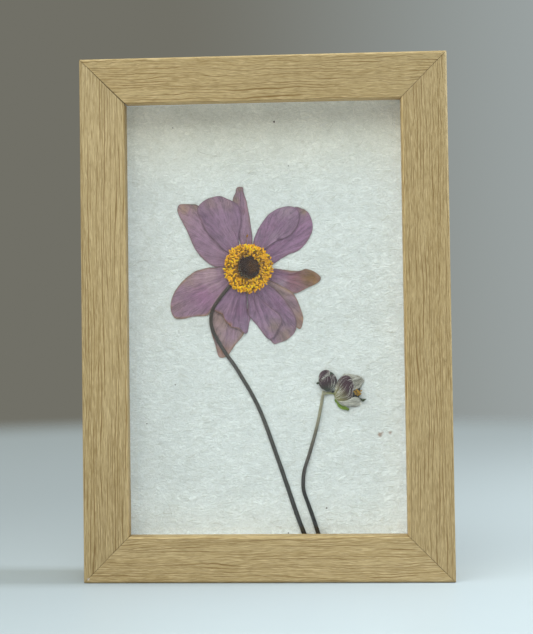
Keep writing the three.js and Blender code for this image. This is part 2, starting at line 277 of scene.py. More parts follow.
def strand_rings(path, width, thickness, sides, ribs=0, rib_depth=0.0):
    """Rings of points round a path of x, y and z that lies along the paper."""
    path = np.asarray(path, float)
    tangent = np.gradient(path, axis=0)
    tangent /= np.linalg.norm(tangent, axis=1, keepdims=True)
    across = np.cross(tangent, (0, 1, 0))
    across /= np.linalg.norm(across, axis=1, keepdims=True)
    lift = np.cross(across, tangent)
    width = np.broadcast_to(width, len(path))
    thickness = np.broadcast_to(thickness, len(path))
    rings = []
    for turn in turns(sides):
        rib = 1 + rib_depth * math.cos(ribs * turn)
        sideways = across * (width * math.cos(turn) * rib / 2)[:, None]
        rings.append(path + sideways + lift * (thickness * math.sin(turn) * rib / 2)[:, None])
    return np.stack(rings, axis=1)


def above_paper(x, z, height):
    """Points at a height above the paper's front, towards the viewer."""
    x, z, height = np.broadcast_arrays(x, z, height)
    return np.stack([x, PAPER_FRONT - height, z], axis=-1)


# ---- Materials ----

DAYLIGHT = (0.83, 0.93, 0.875)
GLOSS = 0.02
BRIGHTEST = 0.9


def seen(red, green, blue):
    """The surface colour that looks like this sRGB colour in the picture's soft daylight.

    The surface's own gloss adds a little white light, which is taken off first."""
    linear = [((c / 255 + 0.055) / 1.055) ** 2.4 for c in (red, green, blue)]
    colour = [(value - GLOSS) / light for value, light in zip(linear, DAYLIGHT)]
    return tuple(min(max(value, 0.004), BRIGHTEST) for value in colour)


class Nodes:
    """A material or world, with short calls for the shader nodes that it is made of."""

    def __init__(self, owner):
        owner.use_nodes = True
        self.owner = owner
        self.tree = owner.node_tree
        surface = "Background" if isinstance(owner, bpy.types.World) else "Principled BSDF"
        self.surface = self.tree.nodes[surface]

    def feed(self, socket, value):
        if isinstance(value, bpy.types.NodeSocket):
            self.tree.links.new(value, socket)
        elif socket.type == "RGBA":
            socket.default_value = (*value, 1)
        else:
            socket.default_value = value

    def add(self, kind, *values, **settings):
        """Adds a node. Lower-case settings are its own, and capitalised ones are its inputs."""
        node = self.tree.nodes.new("ShaderNode" + kind)
        for key in filter(str.islower, settings):
            setattr(node, key, settings[key])
        for key in settings:
            if not key.islower():
                self.feed(node.inputs[key.replace("_", " ")], settings[key])
        for socket, value in zip(node.inputs, values):
            self.feed(socket, value)
        return node

    def set(self, **inputs):
        """Feeds the surface shader's inputs."""
        for key, value in inputs.items():
            self.feed(self.surface.inputs[key.replace("_", " ")], value)

    def value(self, name):
        return self.add("Attribute", attribute_name=name).outputs["Fac"]

    def colour(self, name):
        return self.add("Attribute", attribute_name=name).outputs["Color"]

    def place(self):
        """The point's place, in millimetres."""
        return self.stretch(self.add("TexCoord").outputs["Object"], *(1 / MM,) * 3)

    def stretch(self, vector, x, y, z):
        return self.add("VectorMath", vector, (x, y, z), operation="MULTIPLY").outputs[0]

    def vector(self, x, y, z=0.0):
        return self.add("CombineXYZ", x, y, z).outputs[0]

    def math(self, operation, a, b=0.0):
        return self.add("Math", a, b, operation=operation).outputs[0]

    def times(self, a, b):
        return self.math("MULTIPLY", a, b)

    def plus(self, a, b):
        return self.math("ADD", a, b)

    def centred(self, pattern):
        """A pattern that lies about 0 in place of its middle value."""
        return self.math("SUBTRACT", pattern, 0.5)

    def noise(self, vector, per_mm, detail=2.0, roughness=0.5, distortion=0.0):
        node = self.add(
            "TexNoise",
            Vector=vector,
            Scale=per_mm,
            Detail=detail,
            Roughness=roughness,
            Distortion=distortion,
        )
        return node.outputs[0]

    def step(self, value, low, high, at_low=0.0, at_high=1.0):
        """Goes smoothly from at_low to at_high as the value goes from low to high."""
        node = self.add("MapRange", value, low, high, at_low, at_high)
        node.interpolation_type = "SMOOTHSTEP"
        return node.outputs[0]

    def thin_lines(self, pattern, width):
        """1 on the thin lines where a pattern passes its middle value, and 0 between them."""
        off = self.math("ABSOLUTE", self.centred(pattern))
        return self.step(off, 0.2 * width, width, 1.0, 0.0)

    def spot(self, place, middle, inner, outer, strength, ragged):
        """A spot that fades from its inner to its outer radius, with a ragged edge."""
        away = self.add("VectorMath", place, middle, operation="DISTANCE").outputs["Value"]
        return self.step(self.plus(away, ragged), inner, outer, strength, 0.0)

    def mix(self, share, a, b, blend_type="MIX"):
        node = self.add("Mix", data_type="RGBA", blend_type=blend_type)
        for index, value in ((0, share), (6, a), (7, b)):
            self.feed(node.inputs[index], value)
        return node.outputs[2]

    def shaded(self, colour, amount):
        """The colour made darker or lighter by a factor."""
        grey = self.add("CombineColor", amount, amount, amount).outputs[0]
        return self.mix(1.0, colour, grey, "MULTIPLY")

    def bump(self, height, depth, normal=None):
        """A normal for a relief of this many millimetres."""
        node = self.add("Bump", Height=height, Distance=depth * MM)
        if normal:
            self.feed(node.inputs["Normal"], normal)
        return node.outputs[0]


def new_material(name):
    return Nodes(bpy.data.materials.new(name))


# A pale chip at the bottom left corner, and the radii between which it fades.
CHIP_PLACE = (-58.5, -10.9, 1.4)
CHIP_EDGE = (0.75, 1.15)


def oak_material():
    """Oak finish. Points carry their place along the rail and across it, round the profile."""
    n = new_material("oak")
    along, across, waviness = n.value("along"), n.value("across"), n.value("waviness")
    number = n.value("rail_number")

    def wander(per_mm_along, per_mm_across, reach):
        place = n.vector(n.times(along, per_mm_along), n.times(across, per_mm_across), number)
        return n.times(n.centred(n.noise(place, 1.0)), n.times(waviness, reach))

    line = n.plus(across, n.plus(wander(0.03, 0.08, 4.5), wander(0.13, 0.3, 1.0)))

    def streaks(per_mm_along, per_mm_across, detail=0.0):
        place = n.vector(n.times(along, per_mm_along), n.times(line, per_mm_across), number)
        return n.noise(place, 1.0, detail, 0.6)

    rings = n.plus(n.times(line, 6.9), n.times(streaks(0.02, 0.35, 1.0), 20.0))
    patches = n.step(streaks(0.04, 1.3), 0.36, 0.6)
    growth_line = n.times(n.step(n.math("SINE", rings), 0.6, 1.0), patches)
    fine_line = n.thin_lines(streaks(0.05, 2.6, 1.0), 0.06)
    pores = n.step(streaks(0.3, 5.0, 1.0), 0.56, 0.66)
    fibre = streaks(0.24, 4.4, 2.0)
    broad = streaks(0.01, 0.3)

    ground = n.mix(n.step(broad, 0.3, 0.7), seen(173, 154, 108), seen(179, 161, 116))
    for share, colour in (
        (n.step(fibre, 0.42, 0.72), seen(202, 184, 138)),
        (n.times(fine_line, 0.26), seen(134, 110, 66)),
        (n.times(growth_line, 0.8), seen(122, 97, 56)),
        (n.times(pores, 0.4), seen(126, 102, 60)),
    ):
        ground = n.mix(share, ground, colour)
    # The tone is painted shade that evens out the lamps' light, and a painted highlight on the lip.
    ground = n.shaded(ground, n.value("tone"))
    ground = n.mix(n.value("stain"), ground, seen(62, 44, 24))
    place = n.place()
    ragged = n.times(n.noise(place, 1.5, 2.0), 1.2)
    chip = n.spot(place, CHIP_PLACE, *CHIP_EDGE, 0.6, ragged)
    ground = n.mix(chip, ground, seen(206, 202, 190))
    relief = n.math("SUBTRACT", 1.0, n.math("MAXIMUM", growth_line, pores))
    n.set(
        Base_Color=ground,
        Roughness=n.step(fibre, 0.2, 0.8, 0.62, 0.5),
        Normal=n.bump(relief, 0.04, n.bump(fibre, 0.02)),
        Specular_IOR_Level=0.35,
    )
    return n.owner


def board_material(name, dark, pale, fleck):
    """Pressed wood fibre, as on the rails' unfinished backs and the backing board."""
    n = new_material(name)
    place = n.place()
    clouds = n.noise(place, 0.12, 3.0)
    fibres = n.noise(n.stretch(place, 1.0, 1.0, 3.0), 0.9, 4.0, 0.7, 1.5)
    specks = n.step(n.noise(place, 3.1, 2.0), 0.62, 0.7)
    ground = n.mix(n.step(clouds, 0.2, 0.8, 0.3, 0.7), dark, pale)
    ground = n.mix(n.step(fibres, 0.45, 0.7, 0.0, 0.6), ground, fleck)
    ground = n.mix(n.times(specks, 0.45), ground, fleck)
    n.set(Base_Color=ground, Roughness=0.85, Normal=n.bump(fibres, 0.05), Specular_IOR_Level=0.2)
    return n.owner


def card_material():
    n = new_material("card")
    fibres = n.noise(n.place(), 1.8, 4.0, 0.7)
    ground = n.mix(n.step(fibres, 0.3, 0.7), seen(226, 233, 228), seen(234, 240, 235))
    n.set(Base_Color=ground, Roughness=0.9, Normal=n.bump(fibres, 0.03), Specular_IOR_Level=0.2)
    return n.owner


def glass_material():
    """Clear glass with the faintest smears."""
    n = new_material("glass")
    smears = n.noise(n.stretch(n.place(), 1.0, 1.0, 0.35), 0.05, 3.0, 0.6, 0.8)
    n.set(
        Base_Color=(0.985, 0.995, 0.99),
        Roughness=n.step(smears, 0.45, 0.75, 0.0, 0.015),
        IOR=1.5,
        Transmission_Weight=1.0,
    )
    return n.owner


def steel_material():
    n = new_material("steel")
    place = n.place()
    brushed = n.noise(n.stretch(place, 8.0, 1.0, 0.8), 1.0, 3.0, 0.7)
    dull = n.noise(place, 0.8, 2.0)
    n.set(
        Base_Color=n.mix(n.step(dull, 0.35, 0.7), (0.42, 0.43, 0.44), (0.62, 0.63, 0.64)),
        Metallic=1.0,
        Roughness=n.step(brushed, 0.3, 0.7, 0.28, 0.45),
        Normal=n.bump(brushed, 0.01),
    )
    return n.owner


# The stains are x, z and radius. The paper is given painted shade, warmer and darker, from one
# height to another towards its top. It is painted lighter near its sides, in millimetres from the
# middle, and near its foot, as painted light from the white card there.
PAPER_STAINS = [(36.7, 46.9, 0.9), (37.5, 47.5, 0.6), (40.1, 47.4, 0.7)]
PAPER_TOP_SHADE_HEIGHTS = (122.0, 160.0)
PAPER_TOP_PAINTED_SHADE = (1.04, 0.96, 0.82)
SIDES_LIT = (32.0, 44.0, 1.0, 1.1)
FOOT_LIT = (14.0, 34.0, 1.13, 1.0)


def paper_material():
    """Handmade paper: matt and fibrous, with a few small brown stains, painted shade at its top and
    painted light near its sides and foot.
    """
    n = new_material("handmade_paper")
    place = n.place()
    clouds = n.noise(place, 0.09, 3.0, 0.6)
    pulp = n.noise(n.stretch(place, 0.7, 1.0, 1.0), 0.6, 4.0, 0.65, 1.2)
    fibres = n.noise(n.stretch(place, 0.5, 1.0, 1.1), 1.6, 3.0, 0.75, 2.0)
    grain = n.noise(place, 3.2, 1.0)
    swirl = n.noise(n.stretch(place, 0.6, 1.0, 1.1), 0.42, 2.0, 0.6, 2.2)
    ripples = n.math("ABSOLUTE", n.times(n.centred(swirl), 4.0))
    ground = n.mix(n.step(clouds, 0.3, 0.7), seen(213, 223, 216), seen(221, 231, 224))
    ground = n.mix(n.step(pulp, 0.4, 0.78, 0.0, 0.5), ground, seen(198, 205, 191))
    ground = n.mix(n.step(fibres, 0.58, 0.76, 0.0, 0.45), ground, seen(184, 187, 168))
    # The ripples darken the paper in their grooves and lighten it on their ridges, as painted shade
    # and light of their relief; the pulp, fibres and grain mottle its own colour.
    shade = 1.0
    for pattern, depth in ((ripples, 0.17), (pulp, -0.14), (fibres, -0.2), (grain, -0.12)):
        shade = n.plus(shade, n.times(n.centred(pattern), depth))
    ground = n.shaded(ground, shade)
    x, _, height = n.add("SeparateXYZ", place).outputs
    # Painted light near the sides and the foot, and painted shade at the top.
    ground = n.shaded(ground, n.step(n.math("ABSOLUTE", x), *SIDES_LIT))
    ground = n.mix(n.step(height, *PAPER_TOP_SHADE_HEIGHTS), ground, PAPER_TOP_PAINTED_SHADE, "MULTIPLY")
    ground = n.shaded(ground, n.step(height, *FOOT_LIT))
    ragged = n.times(n.noise(place, 1.6, 2.0), 0.8)
    for x, z, radius in PAPER_STAINS:
        stain = n.spot(place, (x, PAPER_FRONT, z), 0.6 * radius, 1.8 * radius, 0.8, ragged)
        ground = n.mix(stain, ground, seen(148, 120, 96))
    n.set(
        Base_Color=ground,
        Roughness=0.95,
        Specular_IOR_Level=0.1,
        Normal=n.bump(ripples, 0.14, n.bump(pulp, 0.3, n.bump(fibres, 0.11))),
    )
    return n.owner


def tissue_material(name, veins, mottle, roughness=0.8, relief=0.03, gloss=0.25, lines=0.0):
    """Dried plant tissue. Points carry their tint, and vein: the place across the veins."""
    n = new_material(name)
    place = n.place()
    bend = n.times(n.centred(n.noise(place, 0.35)), 0.8)
    strand = n.plus(n.value("vein"), bend)
    length = n.add("SeparateXYZ", place).outputs[2]

    def lengthwise(per_mm_across, per_mm_along):
        return n.noise(n.vector(n.times(strand, per_mm_across), n.times(length, per_mm_along)), 1.0)

    broad, fine = lengthwise(1.6, 0.08), lengthwise(6.0, 0.4)
    clouds = n.noise(place, 0.45, 4.0, 0.65)
    specks = n.noise(place, 3.5, 3.0, 0.7)
    shade = 1.0
    for pattern, low, high, depth in (
        (broad, 0.3, 0.7, veins),
        (fine, 0.3, 0.7, veins / 2),
        (clouds, 0.25, 0.75, mottle),
        (specks, 0.3, 0.7, mottle / 3),
    ):
        shade = n.plus(n.step(pattern, low, high, -depth, depth), shade)
    if lines:
        shade = n.plus(n.times(n.thin_lines(broad, 0.035), -lines), shade)
    n.set(
        Base_Color=n.shaded(n.colour("tint"), shade),
        Roughness=roughness,
        Specular_IOR_Level=gloss,
        Normal=n.bump(broad, relief, n.bump(specks, relief)),
    )
    return n.owner


# ---- Frame ----

FACE_WIDTH = 15.0
WALL_THICKNESS = 8.5
LIP_DEPTH = 4.5
OUTER_ARRIS = 0.9
INNER_ARRIS = 0.8
BACK_ARRIS = 0.5
ARC_STEPS = 8
HALF_MITRE_GAP = 0.015
MITRE_ROUNDING = 0.1
FAINT_MITRE = 0.7
OPEN_CORNER = 0.1
# How much lighter the lip's rounded inner edge is made: a painted highlight.
LIP_PAINTED_HIGHLIGHT = 0.2
SUPPORT = 0.08

# A rounded edge in three steps: how far each is drawn in and set back, as shares of its radius,
# and how dark a mitre is there.
ROUNDED_EDGE = ((1.0, 0.0), (0.3, 0.3), (0.0, 1.0))
MITRE_STAIN = (0.8, 0.5, 0.0)

# Each rail's way outwards, how much its grain waves, its tone at its two ends, and how far the
# mitre at each end has opened. The tone is painted shade that evens out the lamps' light along
# and between the rails. Seen from the front, the ends go clockwise.
RAILS = {
    "top": ((0, 0, 1), 0.9, (1.0, 0.96), (OPEN_CORNER, 0)),
    "bottom": ((0, 0, -1), 0.8, (0.82, 0.82), (0, 0)),
    "left": ((-1, 0, 0), 0.3, (0.95, 0.8), (0, OPEN_CORNER)),
    "right": ((1, 0, 0), 0.35, (0.8, 0.91), (0, 0)),
}


def arc(depth, out, radius, start, end):
    """Profile points round an arris, from one angle to another in degrees."""
    angles = np.radians(np.linspace(start, end, ARC_STEPS + 1))
    return [(depth + radius * math.cos(a), out + radius * math.sin(a)) for a in angles]


def rail_profile():
    """The rail's section: depth behind its front, and height above its outer edge."""
    outline = [
        *arc(OUTER_ARRIS, -OUTER_ARRIS, OUTER_ARRIS, 90, 180),
        *arc(INNER_ARRIS, INNER_ARRIS - FACE_WIDTH, INNER_ARRIS, 180, 270),
        (LIP_DEPTH, -FACE_WIDTH),
        (LIP_DEPTH, -WALL_THICKNESS),
        (FRAME_DEPTH, -WALL_THICKNESS),
        *arc(FRAME_DEPTH - BACK_ARRIS, -BACK_ARRIS, BACK_ARRIS, 0, 90),
    ]
    supported = []
    for a, b in zip(outline, outline[1:] + outline[:1]):
        a, b = np.array(a), np.array(b)
        length = np.linalg.norm(b - a)
        supported.append(a)
        if length > 4 * SUPPORT:
            supported.append(a + (b - a) * SUPPORT / length)
            supported.append(b - (b - a) * SUPPORT / length)
    return np.array(supported)


def drawn_in(outline, amount):
    """A closed outline, walked anticlockwise, drawn in by an amount."""
    normals = []
    for edge in (outline - np.roll(outline, 1, axis=0), np.roll(outline, -1, axis=0) - outline):
        edge = edge / np.linalg.norm(edge, axis=1, keepdims=True)
        normals.append(np.column_stack([-edge[:, 1], edge[:, 0]]))
    before, after = normals
    inward = (before + after) / (1 + np.sum(before * after, axis=1, keepdims=True))
    return outline + amount * inward


def rail_end(profile, end, rail_length, tone, open_here):
    """The rings of an end's rounded mitre, as depth, out and along, with their stain, and their
    tone: painted shade, with a painted highlight on the lip.
    """
    steps = [(*step, stain) for step, stain in zip(ROUNDED_EDGE, MITRE_STAIN)]
    for inset, setback, stain in steps if end < 0 else reversed(steps):
        depth, out = drawn_in(profile, inset * MITRE_ROUNDING).T
        gap = open_here * np.clip(-out / FACE_WIDTH, 0, 1) ** 3
        back = HALF_MITRE_GAP + setback * MITRE_ROUNDING + gap
        along = end * (rail_length / 2 + out - back * math.sqrt(2))
        darkness = stain if open_here else FAINT_MITRE * stain
        shade = np.interp(along, (-rail_length / 2, rail_length / 2), tone)
        on_lip = (out < 0.9 * INNER_ARRIS - FACE_WIDTH) & (depth < LIP_DEPTH + 0.01)
        yield depth, out, along, np.full(len(along), darkness), shade * (1 + LIP_PAINTED_HIGHLIGHT * on_lip)


def oak_rail(side, number, materials):
    """One mitred rail, whose points carry what the oak finish reads."""
    outward, waviness, tone, opening = RAILS[side]
    direction = np.cross((0, 1, 0), outward)
    size = np.array([FRAME_WIDTH, 0, FRAME_HEIGHT])
    edge = (np.array(outward) + (0, 0, 1)) * size / 2
    profile = rail_profile()
    steps = np.linalg.norm(np.diff(profile, axis=0), axis=1)
    across = np.concatenate([[0], np.cumsum(steps)])
    length = size @ np.abs(direction)
    rings, values = [], []
    for end, open_here in zip((-1, 1), opening):
        for depth, out, along, *looks in rail_end(profile, end, length, tone, open_here):
            ring = edge + np.outer(along, direction) + np.outer(out, outward)
            ring[:, 1] += FRAME_LOW[1] + depth
            rings.append(ring)
            values.append([along, across, *looks])
    # The tone carries painted shade, and a painted highlight on the lip.
    along, across, stain, painted_shade_and_highlight = np.concatenate(values, axis=1)
    gathered = Gathered()
    gathered.tube(
        rings,
        along=along,
        across=across,
        stain=stain,
        tone=painted_shade_and_highlight,
        waviness=waviness,
        rail_number=number * 7.3,
    )
    obj = gathered.build(f"oak_rail_{side}", sharp_angle=40)
    for face in obj.data.polygons:
        face.material_index = 0 if is_finished(face, Vector(outward)) else 1
    finish_piece(obj, materials, "oak", f"rail_{side}")


def is_finished(face, outward):
    """Whether a rail's face is its side, front or lip. The rest is bare wood."""
    facing_out = face.normal @ outward
    in_lip = face.center.y / MM - FRAME_LOW[1] < LIP_DEPTH
    return facing_out > 0.5 or in_lip and (face.normal.y < -0.3 or facing_out < -0.3)


def oak_rails():
    bare = board_material("bare_wood", seen(150, 124, 90), seen(172, 146, 108), seen(120, 94, 62))
    materials = [oak_material(), bare]
    for number, side in enumerate(RAILS):
        oak_rail(side, number, materials)


# ---- Pieces in the rebate ----


def rounded(outline, radius):
    """A closed outline with its corners rounded."""
    points = []
    for before, corner, after in zip(
        np.roll(outline, 1, axis=0), outline, np.roll(outline, -1, axis=0)
    ):
        into, onward = corner - before, after - corner
        into, onward = into / np.linalg.norm(into), onward / np.linalg.norm(onward)
        if into @ onward > 0.999:
            continue
        a, b = corner - radius * into, corner + radius * onward
        for t in np.linspace(0, 1, 6):
            points.append((1 - t) ** 2 * a + 2 * t * (1 - t) * corner + t**2 * b)
    return np.array(points)


def slab(name, node, corner, bevel):
    """A flat piece over its CAD node's outline, with rounded corners and bevelled edges."""
    low, high = box_mm(node)
    outline = rounded(node_outline(node), corner)
    front = [(inset * bevel, low[1] + back * bevel) for inset, back in ROUNDED_EDGE]
    rear = [(inset * bevel, high[1] - back * bevel) for inset, back in reversed(ROUNDED_EDGE)]
    rings = []
    for inset, y in front + rear:
        x, z = drawn_in(outline, inset).T
        rings.append(np.column_stack([x, np.full(len(x), y), z]))
    gathered = Gathered()
    gathered.tube(rings)
    return gathered.build(name)


def glass_pane():
    """The glass lets the lamps' light through to the paper."""
    pane = slab("glass", "glass_pane", 0.4, 0.15)
    finish_piece(pane, [glass_material()], "glass", "glass_pane")
    pane.visible_shadow = False
    pane.visible_diffuse = False


def spacers():
    card = card_material()
    for side in ("top", "bottom", "left", "right"):
        node = f"spacer_{side}"
        finish_piece(slab(f"card_{node}", node, 0.2, 0.12), [card], "card", node)


def backing_board():
    board = board_material("hardboard", seen(96, 70, 48), seen(118, 88, 62), seen(74, 52, 34))
    obj = slab("hardboard_back", "backing_board", 1.2, 0.3)
    finish_piece(obj, [board], "hardboard", "backing_board")


POINT_THICKNESS = 0.24
POINT_RIB = 0.22


def glazing_point(node, steel):
    """A spring steel blade with a round end and a pressed rib down its middle."""
    low, high = box_mm(node)
    middle = (low + high) / 2
    inward = np.array([-middle[0], 0, FRAME_HEIGHT / 2 - middle[2]])
    inward = np.sign(inward) * (np.abs(inward) == np.abs(inward).max())
    across = np.cross(inward, (0, 1, 0))
    length, half_width = abs((high - low) @ inward), abs((high - low) @ across) / 2
    share = np.linspace(0, 1, 29)[:, None]
    side = np.linspace(-1, 1, 17)[None, :]
    run = share * length
    past = np.clip((run - (length - half_width)) / half_width, 0, 1)
    width = half_width * np.sqrt(np.maximum(1 - past**2, 0))
    rib = POINT_RIB * np.exp(-((side / 0.22) ** 2)) * smoothstep(0.45, 0.55, share)
    rib = rib * (1 - smoothstep(0.8, 0.9, share))
    start = middle - inward * length / 2
    front = start + run[..., None] * inward + (side * width)[..., None] * across
    front[..., 1] = low[1] + 0.02 + POINT_RIB - rib
    gathered = Gathered()
    gathered.shell(front, front + np.array([0, POINT_THICKNESS, 0]))
    finish_piece(gathered.build(f"steel_{node[8:]}"), [steel], "steel", node)


def glazing_points():
    steel = steel_material()
    for node in sorted(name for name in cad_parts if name.startswith("glazing_point")):
        glazing_point(node, steel)


PAPER_PITCH = 0.45
PAPER_RELIEF = 0.25

# The waves of the paper's relief, from broad to fine: strength, share of the scale that counts
# along x, scale per millimetre and seed.
PAPER_WAVES = [(0.42, 1, 0.07, 0), (0.3, 0.75, 0.32, 5), (0.3, 0.8, 0.7, 9), (0.12, 0.9, 1.5, 13)]


def paper_sheet():
    """A sheet of handmade paper with a crinkled face."""
    low, high = box_mm("paper_sheet")
    columns = int((high[0] - low[0]) / PAPER_PITCH)
    rows = int((high[2] - low[2]) / PAPER_PITCH)
    x, z = np.meshgrid(np.linspace(low[0], high[0], columns), np.linspace(low[2], high[2], rows))
    relief = sum(k * rough(x * share, z, scale, seed) for k, share, scale, seed in PAPER_WAVES)
    depth = np.clip(PAPER_RELIEF * (0.5 - relief), 0, 2 * PAPER_RELIEF)
    gathered = Gathered()
    gathered.block(np.stack([x, low[1] + depth, z], axis=-1), high[1])
    obj = gathered.build("handmade_paper")
    finish_piece(obj, [paper_material()], "handmade_paper", "paper_sheet")


FLECK_BROWN = seen(86, 74, 60)
FLECKS = [
    (3.7, 150.0, 0.34), (-29.8, 148.8, 0.2), (8.2, 135.3, 0.2), (-29.9, 63.7, 0.18),
    (-39.5, 51.0, 0.2), (19.1, 23.1, 0.24), (6.5, 15.0, 0.2), (30.9, 106.5, 0.16),
]
FLECK_CORNERS = 9
FIBRE_COUNT = 110
FIBRE_MARGIN = 7
FIBRE_TINTS = (seen(222, 228, 222), seen(184, 186, 168))


def fleck(gathered, x, z, radius, rng):
    """A ragged dark flake, half sunk in the paper."""
    ragged = np.array([rng.uniform(0.75, 1.2) for _ in range(FLECK_CORNERS)])
    rings = []
    for share, height in ((0.7, -0.1), (1.0, -0.02), (0.75, 0.04)):
        reach = radius * share * ragged
        rings.append(above_paper(*oval((x, z), reach, reach, FLECK_CORNERS), height))
    gathered.tube(rings, tint=FLECK_BROWN, vein=0.0)


def fibre(gathered, low, high, rng):
    """A curled fibre somewhere on the sheet, clear of its edges."""
    x = rng.uniform(low[0] + FIBRE_MARGIN, high[0] - FIBRE_MARGIN)
    z = rng.uniform(low[2] + FIBRE_MARGIN, high[2] - FIBRE_MARGIN)
    heading, bend = rng.gauss(0, 0.8), rng.uniform(-0.5, 0.5)
    path = []
    for share in np.linspace(0, 1, 8):
        path.append((x, PAPER_FRONT + 0.02, z))
        turned = heading + bend * share * 2
        x += 0.5 * math.cos(turned)
        z += 0.5 * math.sin(turned)
    tint = FIBRE_TINTS[0 if rng.random() < 0.5 else 1]
    gathered.tube(strand_rings(path, 0.07, 0.06, 4), tint=tint, vein=0.0)


def paper_inclusions():
    """Dark plant flecks, and fibres pressed into the paper."""
    rng = random.Random(11)
    gathered = Gathered()
    for x, z, radius in FLECKS:
        fleck(gathered, x, z, radius, rng)
    low, high = box_mm("paper_sheet")
    for _ in range(FIBRE_COUNT):
        fibre(gathered, low, high, rng)
    material = tissue_material("paper_fibre", veins=0.05, mottle=0.1, roughness=0.95)
    finish_piece(gathered.build("paper_inclusions"), [material], "handmade_paper")


# ---- Petals ----

VIOLET = seen(137, 112, 132)
MAUVE = seen(143, 118, 133)
PLUM = seen(132, 98, 124)
DEEP_PURPLE = seen(98, 74, 98)
PALE_LILAC = seen(165, 148, 158)
PINK_TAN = seen(147, 128, 120)
TAN = seen(150, 126, 100)
OLIVE_TAN = seen(136, 120, 98)
BROWN = seen(128, 96, 68)
RUST = seen(150, 104, 60)
RED_BROWN = seen(112, 78, 82)
DARK_RIM_AND_EDGE_SHADOW = seen(88, 66, 80)
DRY_RIM = seen(120, 98, 74)

PETAL_ROWS = 80
PETAL_COLUMNS = 44
PETAL_SHEET = 0.09
PETAL_DRAPED = 0.1


class Petal(NamedTuple):
    """How a petal looks. Places are x and z from the flower's centre, in millimetres.

    A wash is a place with its reach, colour and strength. A crease is a line with its height and
    half width, and a mark is a line with its half width, colour and strength."""

    ground: tuple
    dry_rim: float
    washes: list
    creases: list = []
    marks: list = []


